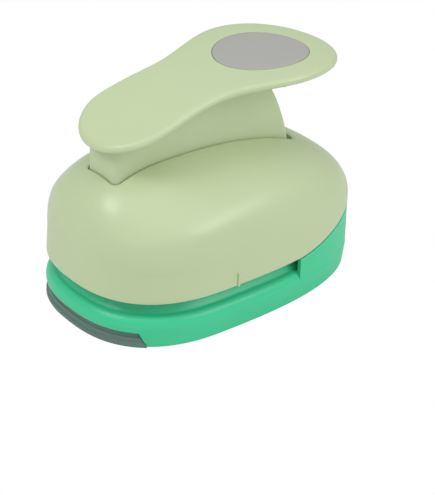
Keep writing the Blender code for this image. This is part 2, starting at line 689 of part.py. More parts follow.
def make_cover():
    """The smoky cover under the base, with a stepped band that shows round the front."""
    cover = loft("bottom_cover", [egg(COVER_INSET, FOOT_LIFT), egg(COVER_INSET, COVER_TOP)], SMOKE)
    rings = []
    step_height = (BAND_TOP - FOOT_LIFT) / BAND_STEPS
    for i in range(BAND_STEPS):
        inset = BAND_INSET + BAND_STEP * i
        rings.append(egg(inset, FOOT_LIFT + step_height * i))
        rings.append(egg(inset + BAND_STEP / 3, FOOT_LIFT + step_height * (i + 1) - GAP))
    band = loft("join_cover_band", rings)
    inside = BAND_INSET + BAND_DEPTH
    boolean(band, loft("cut_band_inside", [egg(inside, COVER_TOP), egg(inside, BAND_TOP + OVERRUN)]))
    boolean(band, side_solid("cut_band_back", band_side(BACK_X + OVERRUN, GAP, OVERRUN), HALF_WIDTH))
    boolean(cover, band, "UNION")
    boolean(cover, cylinder("cut_cover_hole", DISC_RADIUS + COVER_HOLE_MARGIN, -OVERRUN,
                            COVER_TOP + OVERRUN, (DIE_X, 0), sides=DIE_SIDES))
    drill(cover, COVER_SCREWS, COVER_SCREW_HOLE, -OVERRUN, COVER_TOP + OVERRUN, "screw")
    drill(cover, COVER_SCREWS, COVER_SCREW_HEAD_RADIUS + GAP, -OVERRUN, FOOT_LIFT + COUNTERBORE_DEPTH,
          "head")
    drill(cover, FEET, FOOT_RADIUS + GAP, -OVERRUN, FOOT_LIFT + FOOT_POCKET_DEPTH, "foot")
    return cover


def make_shell():
    """The domed shell, open below, with the slot for the lever and the bosses for its screws."""
    low = RIM_HEIGHT + OVERRUN
    shell = loft("top_shell", wall_rings(0.0, low) + dome_rings(0.0), MINT)
    boolean(shell, loft("cut_shell_room", wall_rings(SHELL_WALL, low - OVERRUN) + dome_rings(SHELL_WALL)))
    boolean(shell, parting_prism("cut_shell_bottom", GAP / 2, 0))
    form = loft("shell_boss_form", wall_rings(SHELL_WALL / 2, low) + dome_rings(SHELL_WALL / 2))
    for i, place_of in enumerate(FRONT_SCREWS):
        boss = cylinder(f"join_front_boss_{i + 1}", BOSS_RADIUS, BRACKET_TOP + GAP, BODY_TOP, place_of,
                        sides=SCREW_SIDES)
        boolean(boss, form, "INTERSECT")
        boolean(shell, boss, "UNION")
    for i, place_of in enumerate(BACK_SCREWS):
        boss = cylinder(f"join_back_boss_{i + 1}", BOSS_RADIUS, BACK_POST_TOP + GAP, BODY_TOP, place_of,
                        sides=SCREW_SIDES)
        boolean(boss, form, "INTERSECT")
        boolean(shell, boss, "UNION")
    slot = rounded_rectangle(SKIRT_FRONT_X - SLOT_CLEARANCE, SLOT_BACK_X,
                             SKIRT_HALF_WIDTH + SLOT_CLEARANCE, SKIRT_CORNER + SLOT_CLEARANCE)
    boolean(shell, outline_solid("cut_slot", slot, WALL_TOP, BODY_TOP + OVERRUN))
    drill(shell, FRONT_SCREWS, SCREW_HOLE, 0, GUIDE_BOTTOM + FRONT_SCREW_LENGTH + OVERRUN, "front_screw")
    drill(shell, BACK_SCREWS, SCREW_HOLE, 0, BACK_HEAD_SEAT + BACK_SCREW_LENGTH + OVERRUN, "back_screw")
    wall_y = HALF_WIDTH - wall_inset(SHELL_EDGE + MARK_HEIGHT)
    for side in SIDES:
        low_y, high_y = sorted((side * (wall_y - SHELL_WALL / 2), side * (wall_y + MARK_PROUD)))
        mark = box(f"join_mark_{'near' if side < 0 else 'far'}",
                   (DIE_X - MARK_WIDTH / 2, low_y, SHELL_EDGE + GAP / 2),
                   (DIE_X + MARK_WIDTH / 2, high_y, SHELL_EDGE + GAP / 2 + MARK_HEIGHT))
        boolean(shell, mark, "UNION")
    return shell


def rounded_rectangle(left, right, half_width, corner):
    """Outline of a rectangle in plan with round corners, as (x, y) points."""
    points = []
    near, far = left + corner, right - corner
    reach = half_width - corner
    for quarter, (x, y) in enumerate(((far, reach), (near, reach), (near, -reach), (far, -reach))):
        for i in range(5):
            angle = math.radians(90) * (quarter + i / 4)
            points.append((x + corner * math.cos(angle), y + corner * math.sin(angle)))
    return points


def paddle_height(x):
    """Height of the arched paddle's middle above the ground at a station."""
    return ARCH_TOP - ARCH_RADIUS + math.sqrt(ARCH_RADIUS ** 2 - (x - ARCH_TOP_X) ** 2)


def skirt_back_x(height, thin=0.0):
    """Station of the skirt's curved back, an arc about the pivot, at a height."""
    rise = height - PIVOT_HEIGHT
    return PIVOT_X + math.sqrt((SKIRT_RADIUS - thin) ** 2 - rise ** 2)


def skirt_rings(thin, bottom):
    """Rings up the skirt: rounded rectangles, whose back end follows the arc about the pivot."""
    rings = []
    for i in range(SKIRT_STEPS + 1):
        height = bottom + (ARCH_TOP - bottom) * i / SKIRT_STEPS
        outline = rounded_rectangle(SKIRT_FRONT_X + thin, skirt_back_x(height, thin),
                                    SKIRT_HALF_WIDTH - thin, SKIRT_CORNER - thin / 2)
        rings.append([(x, y, height) for x, y in outline])
    return rings


def above_paddle(name, offset):
    """The space above the arched middle of the paddle, raised by an offset, as a cutter."""
    left, right = FRONT_X, BACK_X
    line = [(left + (right - left) * i / ARCH_STATIONS) for i in range(ARCH_STATIONS + 1)]
    outline = [(x, paddle_height(x) + offset) for x in line]
    return side_solid(name, outline + [(right, ARCH_TOP * 2), (left, ARCH_TOP * 2)], HALF_WIDTH)


def paddle_half_width(x, lip):
    """Half the paddle's width at a station, less a lip."""
    if x < PADDLE_FRONT_X:
        share = (PADDLE_FRONT_X - x) / (PADDLE_FRONT_LENGTH - lip)
        return (PADDLE_FRONT_HALF_WIDTH - lip) * math.sqrt(max(1 - share ** 2, 0))
    if x > PAD_X:
        share = (x - PAD_X) / (PAD_LENGTH - lip)
        return (PAD_HALF_WIDTH - lip) * math.sqrt(max(1 - share ** 2, 0))
    if x < WAIST_X:
        share = (x - PADDLE_FRONT_X) / (WAIST_X - PADDLE_FRONT_X)
        return PADDLE_FRONT_HALF_WIDTH + (WAIST_HALF_WIDTH - PADDLE_FRONT_HALF_WIDTH) * ease(share) - lip
    share = (x - WAIST_X) / (PAD_X - WAIST_X)
    return WAIST_HALF_WIDTH + (PAD_HALF_WIDTH - WAIST_HALF_WIDTH) * ease(share) - lip


def ease(share):
    """A smooth step from 0 to 1."""
    return share * share * (3 - 2 * share)


def paddle_stations(lip=0.0):
    """The paddle's plan as (x, half width) stations, close together at its round ends."""
    stations = []
    for i in range(10):
        turn = math.radians(90) * (i + TIP_SHARE) / 10
        stations.append(PADDLE_FRONT_X - (PADDLE_FRONT_LENGTH - lip) * math.cos(turn))
    for i in range(10):
        stations.append(PADDLE_FRONT_X + (PAD_X - PADDLE_FRONT_X) * (i + 0.5) / 10)
    for i in range(13):
        turn = math.radians(90) * (1 - (12 - i + TIP_SHARE) / 13)
        stations.append(PAD_X + (PAD_LENGTH - lip) * math.sin(turn))
    return [(x, paddle_half_width(x, lip)) for x in stations]


def oval_stations(margin):
    """The badge's oval plan, widened by a margin, as (x, half width) stations."""
    stations = []
    steps = 16
    for i in range(steps + 1):
        turn = math.radians(180) * (i + TIP_SHARE * (1 - 2 * i / steps)) / steps
        stations.append((BADGE_X - (BADGE_HALF_LENGTH + margin) * math.cos(turn),
                         (BADGE_HALF_WIDTH + margin) * math.sin(turn)))
    return stations


def arched_slab(name, stations, low, high, edge=0.0, stuff=None):
    """A slab that follows the paddle's arch. With an edge radius its long edges and tips are round."""
    first, last = stations[0][0], stations[-1][0]
    steps = EDGE_STEPS if edge else 0
    rings = []
    for x, half_width in stations:
        middle = paddle_height(x) + (low + high) / 2
        half = (high - low) / 2
        if edge:
            depth = min(min(x - first, last - x) + edge * TIP_DEPTH_SHARE, edge)
            half *= math.sqrt(1 - (1 - depth / edge) ** 2)
        corner = min(edge, half, half_width) * EDGE_SHARE
        ring = []
        for quarter, (side, up) in enumerate(((1, 1), (-1, 1), (-1, -1), (1, -1))):
            for i in range(steps + 1):
                turn = math.radians(90) * (quarter + i / EDGE_STEPS)
                ring.append((x, side * (half_width - corner) + corner * math.cos(turn),
                             middle + up * (half - corner) + corner * math.sin(turn)))
        rings.append(ring)
    return loft(name, rings, stuff)


def make_lever():
    """The lever in one moulding: paddle, hollow skirt, press nose and the barrel for the pin."""
    half = PADDLE_THICKNESS / 2
    lever = arched_slab("handle_lever", paddle_stations(), -half, half, PADDLE_EDGE_ROUND, MINT)
    boolean(lever, arched_slab("cut_paddle_recess", paddle_stations(PADDLE_LIP), -half - OVERRUN,
                               half - PADDLE_PLATE))
    skirt = loft("join_skirt", skirt_rings(0.0, SKIRT_BOTTOM))
    room = loft("cut_skirt_room", skirt_rings(SKIRT_WALL, SKIRT_BOTTOM - OVERRUN))
    boolean(room, above_paddle("cut_room_top", half - PADDLE_PLATE))
    edge = [(SKIRT_CHEEK_X, 0), (SKIRT_CHEEK_X, SKIRT_EDGE - SKIRT_CHEEK_RUN),
            (SKIRT_CHEEK_X + SKIRT_CHEEK_RUN, SKIRT_EDGE), (BACK_X, SKIRT_EDGE), (BACK_X, 0)]
    boolean(skirt, above_paddle("cut_skirt_top", half - PADDLE_PLATE / 2))
    boolean(skirt, room)
    boolean(skirt, side_solid("cut_skirt_edge", edge, SKIRT_HALF_WIDTH + OVERRUN))
    boolean(lever, skirt, "UNION")
    length = PAD_X + PAD_LENGTH - PADDLE_FRONT_X + PADDLE_FRONT_LENGTH
    for i in range(1, int(length / PADDLE_RIB_PITCH) + 1):
        x = PADDLE_FRONT_X - PADDLE_FRONT_LENGTH + PADDLE_RIB_PITCH * i
        reach = paddle_half_width(x, PADDLE_LIP / 2)
        for side in SIDES:
            inner = SKIRT_HALF_WIDTH - SKIRT_WALL / 2 if x < skirt_back_x(paddle_height(x)) else 0
            low_y, high_y = sorted((side * inner, side * reach))
            rib = box(f"join_paddle_rib_{i}_{side}", (x - RIB_THICKNESS / 2, low_y, paddle_height(x) - half),
                      (x + RIB_THICKNESS / 2, high_y, paddle_height(x) + half - PADDLE_PLATE / 2))
            boolean(lever, rib, "UNION")
    inner = SKIRT_HALF_WIDTH - SKIRT_WALL / 2
    boolean(lever, side_solid("join_nose", nose_outline(), inner), "UNION")
    rib_x = (DIE_X + skirt_back_x(PIVOT_HEIGHT)) / 2
    rib_front, rib_back = rib_x - RIB_THICKNESS / 2, rib_x + RIB_THICKNESS / 2
    rib_low, rib_high = SKIRT_EDGE + OVERRUN, paddle_height(rib_x)
    rib = [(rib_front, rib_low), (rib_back, rib_low), (rib_back, rib_high), (rib_front, rib_high)]
    boolean(lever, side_solid("join_skirt_rib", rib, inner), "UNION")
    pivot = (PIVOT_X, PIVOT_HEIGHT)
    boolean(lever, cross_cylinder("join_barrel", BARREL_RADIUS, inner, pivot), "UNION")
    boolean(lever, cross_cylinder("cut_pin_bore", PIN_RADIUS + GAP, SKIRT_HALF_WIDTH + OVERRUN, pivot))
    boolean(lever, arched_slab("cut_badge_room", oval_stations(GAP), half - BADGE_THICKNESS - GAP,
                               half + OVERRUN))
    set_origin(lever, (PIVOT_X, 0, PIVOT_HEIGHT))
    badge = arched_slab("handle_badge", oval_stations(0.0), half - BADGE_THICKNESS, half, stuff=GREY)
    set_origin(badge, (PIVOT_X, 0, PIVOT_HEIGHT))
    return lever


def nose_outline():
    """The press nose and the web that carries it up to the paddle, in the XZ plane."""
    points = []
    for i in range(13):
        angle = math.radians(180) * (1 + i / 12)
        points.append((DIE_X + NOSE_RADIUS * math.cos(angle), NOSE_HEIGHT + NOSE_RADIUS * math.sin(angle)))
    shoulder = SKIRT_EDGE + NOSE_RADIUS * 2
    half = RIB_THICKNESS / 2
    points += [(DIE_X + NOSE_RADIUS, shoulder), (DIE_X + half, shoulder + NOSE_RADIUS),
               (DIE_X + half, paddle_height(DIE_X)), (DIE_X - half, paddle_height(DIE_X)),
               (DIE_X - half, shoulder + NOSE_RADIUS), (DIE_X - NOSE_RADIUS, shoulder)]
    return points


def make_plates():
    """The steel die plate, the spacer that sets the throat and the guide plate."""
    ring = DISC_RADIUS + GAP + DIE_RING_WIDTH
    die = outline_solid("die_plate", plate_outline(ring), DIE_PLATE_BOTTOM, THROAT_FLOOR, STEEL)
    hole = cylinder("cut_die_hole", DIE_RADIUS, 0, BODY_TOP, (DIE_X, 0), sides=DIE_SIDES)
    boolean(die, hole)
    drill(die, DIE_SCREWS, SCREW_HOLE, 0, GUIDE_TOP, "screw")
    start = math.asin((TONGUE_HALF_WIDTH - TONGUE_CORNER) / SPACER_FRONT_RADIUS)
    front = []
    for i in range(9):
        angle = start * (1 - i / 4)
        front.append((DIE_X + SPACER_FRONT_RADIUS * math.cos(angle),
                      SPACER_FRONT_RADIUS * math.sin(angle)))
    back = TONGUE_END_X - TONGUE_CORNER / 2
    outline = front + [(back, front[-1][1]), (back, front[0][1])]
    spacer = outline_solid("spacer_plate", outline, THROAT_FLOOR + GAP, GUIDE_BOTTOM - GAP, ZINC)
    drill(spacer, DIE_SCREWS, SCREW_HOLE, 0, BODY_TOP, "screw")
    sheet = [egg(GUIDE_PLATE_INSET, GUIDE_BOTTOM), egg(GUIDE_PLATE_INSET, GUIDE_TOP)]
    guide = loft("guide_plate", sheet, STEEL)
    behind = box("cut_guide_back", (TONGUE_END_X, -HALF_WIDTH, 0), (BACK_X, HALF_WIDTH, BODY_TOP))
    boolean(guide, behind)
    boolean(guide, hole)
    drill(guide, DIE_SCREWS, SCREW_HOLE, 0, BODY_TOP, "screw")
    drill(guide, FRONT_SCREWS, SCREW_HOLE, 0, BODY_TOP, "front_screw")
    drill(guide, FRONT_SCREWS, SCREW_HEAD_RADIUS + GAP, 0, GUIDE_BOTTOM + COUNTERBORE_DEPTH, "front_head")
    drill(guide, POSTS, POST_RADIUS + GAP, 0, BODY_TOP, "post")


def make_plunger():
    """The moving punch, the press block on it and the wear plate that the lever's nose meets."""
    punch = cylinder("male_punch", DISC_RADIUS, PUNCH_BOTTOM, PUNCH_LID, (DIE_X, 0), STEEL, DIE_SIDES)
    boolean(punch, cylinder("cut_punch_room", DISC_RADIUS - PUNCH_RING, 0, PUNCH_LID - PUNCH_TOP,
                            (DIE_X, 0), sides=DIE_SIDES))
    drill(punch, PUNCH_SCREWS, SCREW_HOLE, 0, BODY_TOP, "screw")
    block = cylinder("press_block", BLOCK_RADIUS, BLOCK_BOTTOM, BLOCK_TOP, (DIE_X, 0), WHITE, DIE_SIDES)
    pillar = box("join_pillar", (DIE_X - PILLAR_HALF_LENGTH, -PILLAR_HALF_WIDTH, BLOCK_TOP - BITE),
                 (DIE_X + PILLAR_HALF_LENGTH, PILLAR_HALF_WIDTH, PILLAR_TOP))
    boolean(block, pillar, "UNION")
    for i, (x, y) in enumerate(POSTS):
        ear = cylinder(f"join_ear_{i + 1}", EAR_RADIUS, ARM_BOTTOM, ARM_BOTTOM + ARM_THICKNESS, (x, y),
                       sides=SCREW_SIDES * 2)
        boolean(block, ear, "UNION")
        reach = math.hypot(x - DIE_X, y)
        heading = Matrix.Translation((DIE_X, 0, 0)) @ Matrix.Rotation(math.atan2(y, x - DIE_X), 4, "Z")
        arm = box(f"join_arm_{i + 1}", (0, -ARM_WIDTH / 2, ARM_BOTTOM),
                  (reach, ARM_WIDTH / 2, ARM_BOTTOM + ARM_THICKNESS))
        web = box(f"join_web_{i + 1}", (0, -ARM_WEB / 2, BLOCK_TOP - BITE),
                  (BLOCK_RADIUS - ARM_WEB, ARM_WEB / 2, ARM_BOTTOM + BITE))
        for piece in (arm, web):
            piece.data.transform(heading)
            boolean(block, piece, "UNION")
    wear_half = PILLAR_HALF_LENGTH - WEAR_PLATE_MARGIN
    wear_width = PILLAR_HALF_WIDTH - WEAR_PLATE_MARGIN
    pocket = box("cut_wear_pocket", (DIE_X - wear_half - GAP, -wear_width - GAP, WEAR_PLATE_BOTTOM - GAP),
                 (DIE_X + wear_half + GAP, wear_width + GAP, BODY_TOP))
    boolean(block, pocket)
    drill(block, POSTS, POST_RADIUS + GAP, 0, BODY_TOP, "post")
    drill(block, PUNCH_SCREWS, SCREW_HOLE, 0, BODY_TOP, "screw")
    wear = box("wear_plate", (DIE_X - wear_half, -wear_width, WEAR_PLATE_BOTTOM),
               (DIE_X + wear_half, wear_width, WEAR_PLATE_TOP), ZINC)
    carrier = bpy.data.objects.new("plunger_slide", None)
    PARTS.objects.link(carrier)
    carrier.location = (DIE_X, 0, PUNCH_BOTTOM)
    return carrier, [punch, block, wear]


def spring_points(bottom, top):
    """Points along a coil, closed up at both ends, from one height to the other."""
    points = []
    count = SPRING_TURNS * SPRING_POINTS_PER_TURN
    for i in range(count + 1):
        share = i / count
        angle = 2 * math.pi * SPRING_TURNS * share
        points.append(Vector((SPRING_RADIUS * math.cos(angle), SPRING_RADIUS * math.sin(angle),
                              bottom + (top - bottom) * share)))
    return points


def least_gap(points, radius):
    """Least gap of a coil to itself, measured on its points that lie half a turn or more apart."""
    apart = SPRING_POINTS_PER_TURN // 2
    gaps = []
    for i, point in enumerate(points):
        gaps += [(point - other).length for other in points[i + apart:]]
    return min(gaps) - radius * 2


def make_posts_and_springs():
    """Four guide posts in the guide plate, each inside a return spring."""
    low = GUIDE_TOP + GAP + SPRING_WIRE_RADIUS
    high = ARM_BOTTOM - GAP - SPRING_WIRE_RADIUS
    for i, (x, y) in enumerate(POSTS):
        chamfer = POST_RADIUS / 3
        profile = [(0, POST_TOP), (POST_RADIUS - chamfer, POST_TOP), (POST_RADIUS, POST_TOP - chamfer),
                   (POST_RADIUS, GUIDE_BOTTOM + GAP), (0, GUIDE_BOTTOM + GAP)]
        turned(f"guide_post_{i + 1}", profile, (x, y, 0), STEEL)
        curve = bpy.data.curves.new(f"return_spring_{i + 1}", "CURVE")
        curve.dimensions = "3D"
        curve.bevel_depth = SPRING_WIRE_RADIUS
        curve.bevel_resolution = 1
        curve.use_fill_caps = True
        spline = curve.splines.new("POLY")
        points = spring_points(low, high)
        spline.points.add(len(points) - 1)
        for knot, point in zip(spline.points, points):
            knot.co = (*point, 1)
        spring = curve_to_object(f"return_spring_{i + 1}", curve, Matrix.Identity(4), SPRING_STEEL)
        spring.location = (x, y, 0)
        print(f"{spring.name}: least gap to itself {least_gap(points, SPRING_WIRE_RADIUS) / MM:.2f} mm")


def make_pivot():
    """The folded bracket on the guide plate, the pin through it and the clip on the pin."""
    flange = [(BRACKET_BACK_X, -BRACKET_HALF_WIDTH), (BRACKET_BACK_X, BRACKET_HALF_WIDTH),
              (BRACKET_FRONT_X + BRACKET_NOSE_RUN, BRACKET_HALF_WIDTH),
              (BRACKET_FRONT_X, BRACKET_NOSE_HALF_WIDTH), (BRACKET_FRONT_X, -BRACKET_NOSE_HALF_WIDTH),
              (BRACKET_FRONT_X + BRACKET_NOSE_RUN, -BRACKET_HALF_WIDTH)]
    bracket = outline_solid("pivot_bracket", flange, BRACKET_BOTTOM, BRACKET_TOP, ZINC)
    ear = [(EAR_FOOT_BACK_X, BRACKET_BOTTOM), (EAR_FOOT_BACK_X, BRACKET_BOTTOM + EAR_FOOT_RISE)]
    for i in range(9):
        angle = math.radians(180) * i / 8
        ear.append((PIVOT_X + EAR_TOP_RADIUS * math.cos(angle),
                    PIVOT_HEIGHT + EAR_TOP_RADIUS * math.sin(angle)))
    ear += [(BRACKET_FRONT_X, BRACKET_BOTTOM + EAR_FOOT_RISE), (BRACKET_FRONT_X, BRACKET_BOTTOM)]
    for side in SIDES:
        name = f"join_bracket_ear_{'near' if side < 0 else 'far'}"
        middle = side * (EAR_INNER + EAR_OUTER) / 2
        boolean(bracket, side_solid(name, ear, BRACKET_SHEET / 2, middle=middle), "UNION")
    pivot = (PIVOT_X, PIVOT_HEIGHT)
    boolean(bracket, cross_cylinder("cut_bracket_bore", PIN_RADIUS + GAP, HALF_WIDTH, pivot))
    drill(bracket, FRONT_SCREWS, SCREW_HOLE, 0, BODY_TOP, "screw")
    head = EAR_OUTER + GAP
    groove = head + GAP
    root = PIN_RADIUS - GROOVE_DEPTH
    slack = GAP / 2
    tip = groove + CLIP_THICKNESS + PIN_END
    profile = [(0, tip), (PIN_RADIUS, tip), (PIN_RADIUS, groove + CLIP_THICKNESS + slack),
               (root, groove + CLIP_THICKNESS + slack), (root, groove - slack),
               (PIN_RADIUS, groove - slack), (PIN_RADIUS, -head), (PIN_HEAD_RADIUS, -head),
               (PIN_HEAD_RADIUS, -head - PIN_HEAD_THICKNESS), (0, -head - PIN_HEAD_THICKNESS)]
    pin = turned("pivot_pin", profile, (PIVOT_X, 0, PIVOT_HEIGHT), STEEL, 20)
    pin.rotation_euler = (math.radians(-90), 0, 0)
    clip_hole = root + slack
    clip = cylinder("pin_clip", CLIP_RADIUS, groove, groove + CLIP_THICKNESS, stuff=SPRING_STEEL)
    boolean(clip, cylinder("cut_clip_hole", clip_hole, groove - OVERRUN, groove + CLIP_THICKNESS + OVERRUN))
    boolean(clip, box("cut_clip_mouth", (0, -CLIP_OPENING / 2, groove - OVERRUN),
                      (CLIP_RADIUS + OVERRUN, CLIP_OPENING / 2, groove + CLIP_THICKNESS + OVERRUN)))
    lying = Matrix.Rotation(math.radians(-90), 4, "X")
    for name in ("pin_clip", "cut_clip_hole", "cut_clip_mouth"):
        bpy.data.objects[name].matrix_world = Matrix.Translation((PIVOT_X, 0, PIVOT_HEIGHT)) @ lying


def make_screw(name, place_of, seat, points_up, length, radius, head_radius, head_height, stuff=ZINC):
    """A pan-head screw with a cross drive, its head seated a gap clear of a face."""
    profile = [(0, head_height), (head_radius * HEAD_TOP_SHARE, head_height), (head_radius, 0),
               (radius, 0), (radius, -length), (0, -length)]
    screw = turned(name, profile, (0, 0, 0), stuff)
    depth = head_height * DRIVE_DEPTH_SHARE
    reach = head_radius * DRIVE_REACH_SHARE
    turn = Matrix.Rotation(math.radians(180), 4, "X") if points_up else Matrix.Identity(4)
    lift = seat - GAP if points_up else seat + GAP
    stand = Matrix.Translation((*place_of, lift)) @ turn
    for label, half_x, half_y in (("x", reach, DRIVE_WIDTH / 2), ("y", DRIVE_WIDTH / 2, reach)):
        slot = box(f"cut_{name}_{label}", (-half_x, -half_y, head_height - depth),
                   (half_x, half_y, head_height + OVERRUN))
        slot.matrix_world = stand
        boolean(screw, slot)
    screw.matrix_world = stand
    return screw


def make_screws():
    """Every screw: die set, punch, shell front and back, and cover."""
    sizes = (SCREW_RADIUS, SCREW_HEAD_RADIUS, SCREW_HEAD_HEIGHT)
    for i, point in enumerate(DIE_SCREWS):
        make_screw(f"die_screw_{i + 1}", point, GUIDE_TOP, False, DIE_SCREW_LENGTH, *sizes)
    moving = []
    for i, point in enumerate(PUNCH_SCREWS):
        moving.append(make_screw(f"punch_screw_{i + 1}", point, PUNCH_LID - PUNCH_TOP, True,
                                 PUNCH_SCREW_LENGTH, *sizes))
    flat = (SCREW_RADIUS, SCREW_HEAD_RADIUS, COVER_SCREW_HEAD_HEIGHT)
    for i, point in enumerate(FRONT_SCREWS):
        make_screw(f"front_shell_screw_{i + 1}", point, GUIDE_BOTTOM + COUNTERBORE_DEPTH, True,
                   FRONT_SCREW_LENGTH, *flat)
    for i, point in enumerate(BACK_SCREWS):
        make_screw(f"back_shell_screw_{i + 1}", point, BACK_HEAD_SEAT, True, BACK_SCREW_LENGTH,
                   *sizes)
    small = (COVER_SCREW_RADIUS, COVER_SCREW_HEAD_RADIUS, COVER_SCREW_HEAD_HEIGHT)
    for i, point in enumerate(COVER_SCREWS):
        make_screw(f"cover_screw_{i + 1}", point, FOOT_LIFT + COUNTERBORE_DEPTH, True,
                   COVER_SCREW_LENGTH, *small)
    return moving


def make_feet():
    """Four rubber discs in pockets of the cover."""
    top = FOOT_LIFT + FOOT_POCKET_DEPTH - GAP
    round_off = FOOT_LIFT / 2
    for i, (x, y) in enumerate(FEET):
        profile = [(0, top), (FOOT_RADIUS, top), (FOOT_RADIUS, round_off),
                   (FOOT_RADIUS - round_off, 0), (0, 0)]
        turned(f"rubber_foot_{i + 1}", profile, (x, y, 0), RUBBER, 16)


def carry(carrier, pieces):
    """Hang pieces on an empty without moving them."""
    for piece in pieces:
        piece.parent = carrier
        piece.matrix_parent_inverse = Matrix.Translation(-carrier.location)


def main():
    """Build every part of the punch."""
    make_base()
    make_cover()
    make_shell()
    make_lever()
    make_plates()
    carrier, moving = make_plunger()
    make_posts_and_springs()
    make_pivot()
    moving += make_screws()
    make_feet()
    carry(carrier, moving)
    bpy.context.view_layer.update()


main()
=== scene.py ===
"""Looks of the craft punch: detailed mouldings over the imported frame, finishes, light and camera.

The four large mouldings and the badge are built again at a finer pitch than the frame's solids, from
the same outline formulas, and replace them. Every other piece keeps its shape and gets a finish.
"""
import json
from math import copysign, cos, hypot, pi, radians, sin, sqrt

import bmesh
import bpy
from bpy.props import FloatProperty, FloatVectorProperty, IntProperty, PointerProperty
from bpy.types import Operator, Panel, PropertyGroup
from mathutils import Matrix, Vector


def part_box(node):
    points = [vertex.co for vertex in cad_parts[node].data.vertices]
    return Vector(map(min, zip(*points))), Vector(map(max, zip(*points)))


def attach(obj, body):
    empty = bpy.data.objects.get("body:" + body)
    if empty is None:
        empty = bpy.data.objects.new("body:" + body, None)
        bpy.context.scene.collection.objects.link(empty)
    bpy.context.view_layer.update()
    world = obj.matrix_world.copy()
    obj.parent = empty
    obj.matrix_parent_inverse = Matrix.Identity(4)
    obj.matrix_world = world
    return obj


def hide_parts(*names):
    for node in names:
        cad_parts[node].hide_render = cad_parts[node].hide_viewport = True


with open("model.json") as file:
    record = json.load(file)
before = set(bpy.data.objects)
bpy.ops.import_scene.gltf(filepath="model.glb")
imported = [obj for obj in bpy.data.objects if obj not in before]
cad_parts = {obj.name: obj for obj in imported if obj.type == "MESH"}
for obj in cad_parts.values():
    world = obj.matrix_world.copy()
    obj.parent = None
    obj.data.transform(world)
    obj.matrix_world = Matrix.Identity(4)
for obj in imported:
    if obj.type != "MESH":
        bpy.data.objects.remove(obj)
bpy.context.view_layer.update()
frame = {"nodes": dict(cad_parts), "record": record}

bl_info = {
    "name": "Craft punch",
    "version": (1, 0, 0),
    "blender": (4, 5, 0),
    "location": "3D View > Sidebar > Craft punch",
    "description": "Builds a craft punch's mouldings and finishes round a packed frame",
    "category": "Object",
}

MM = 0.001
PLAY = 0.3 * MM  # gap between pieces that fit together
OVERRUN = 2 * MM  # how far a cutter reaches past what it cuts
FAR = 130 * MM  # further out than any piece reaches
WELD = 0.01 * MM  # points nearer than this become one
SIDES = (-1, 1)
SHARP = radians(32)  # an edge that bends more than this stays sharp
HALVINGS = 24  # steps of a search by halving
ROUND_STEPS = 4  # faces across a small rounding
DIE_SIDES = 96  # sides of the wide circles round the die
PIN_SIDES = 48
BOSS_SIDES = 32
BORE_SIDES = 24
MIDDLE_SHARES = (0.8, 0.55, 0.3, 0.0)  # rows between a slab's edge and its middle line, as shares of its half width

# Points round the lower and upper edges of the stepped band: how far in, and how far above or below.
BAND_BOTTOM = ((0.5 * MM, 0), (0.15 * MM, 0.15 * MM))
STEP_FOOT = 0.4 * MM  # where a step's wall starts above its foot
STEP_EDGE = ((0.02 * MM, 0.75 * MM), (0.15 * MM, 0.4 * MM), (0.75 * MM, 0.05 * MM))

# The rib that marks the die: radius of its corners, bevel at its foot, and how it narrows to its tip.
MARK_CORNER = 0.25 * MM
MARK_FOOT = 0.3 * MM
MARK_TIP = 0.4 * MM
MARK_FALL = 0.5 * MM

# The bevel round the badge and its pocket: width, depth, bulge, and its reach past the pad.
BEVEL = 0.25 * MM
BEVEL_DEPTH = 0.2 * MM
BEVEL_BULGE = 0.06 * MM
BEVEL_REACH = 0.05 * MM

NOISE_RANGE = (0.2, 0.8)  # where nearly all of a noise texture's values lie

# Each lamp's direction as shares of right, back to the camera, ahead and up, then its distance and size.
LAMPS = (
    ("key", (-0.75, 0.55, 0, 0.6), 0.7, 0.28),
    ("fill", (0.95, 0.4, 0, 0.45), 0.8, 0.42),
    ("top", (0, 0, -0.3, 1), 0.7, 0.8),
)
LAMP_TARGET = 60 * MM  # height that the lamps point at
FLOOR_RADIUS = 3.0
FLOOR_DROP = 0.2 * MM


def mm(name, description, default):
    """A length property, with its default in millimetres."""
    return FloatProperty(name=name, description=description, default=default * MM, unit="LENGTH", precision=5)


def number(name, description, default):
    """A plain number property."""
    return FloatProperty(name=name, description=description, default=default)


def count(name, description, default):
    """A whole number property of at least 1."""
    return IntProperty(name=name, description=description, default=default, min=1)


def angle(name, description, default):
    """An angle property, with its default in degrees."""
    return FloatProperty(name=name, description=description, default=radians(default), subtype="ANGLE")


def colour(name, description, default):
    """A colour property in linear values."""
    return FloatVectorProperty(name=name, description=description, default=default, subtype="COLOR",
                               size=3, min=0.0, max=1.0)


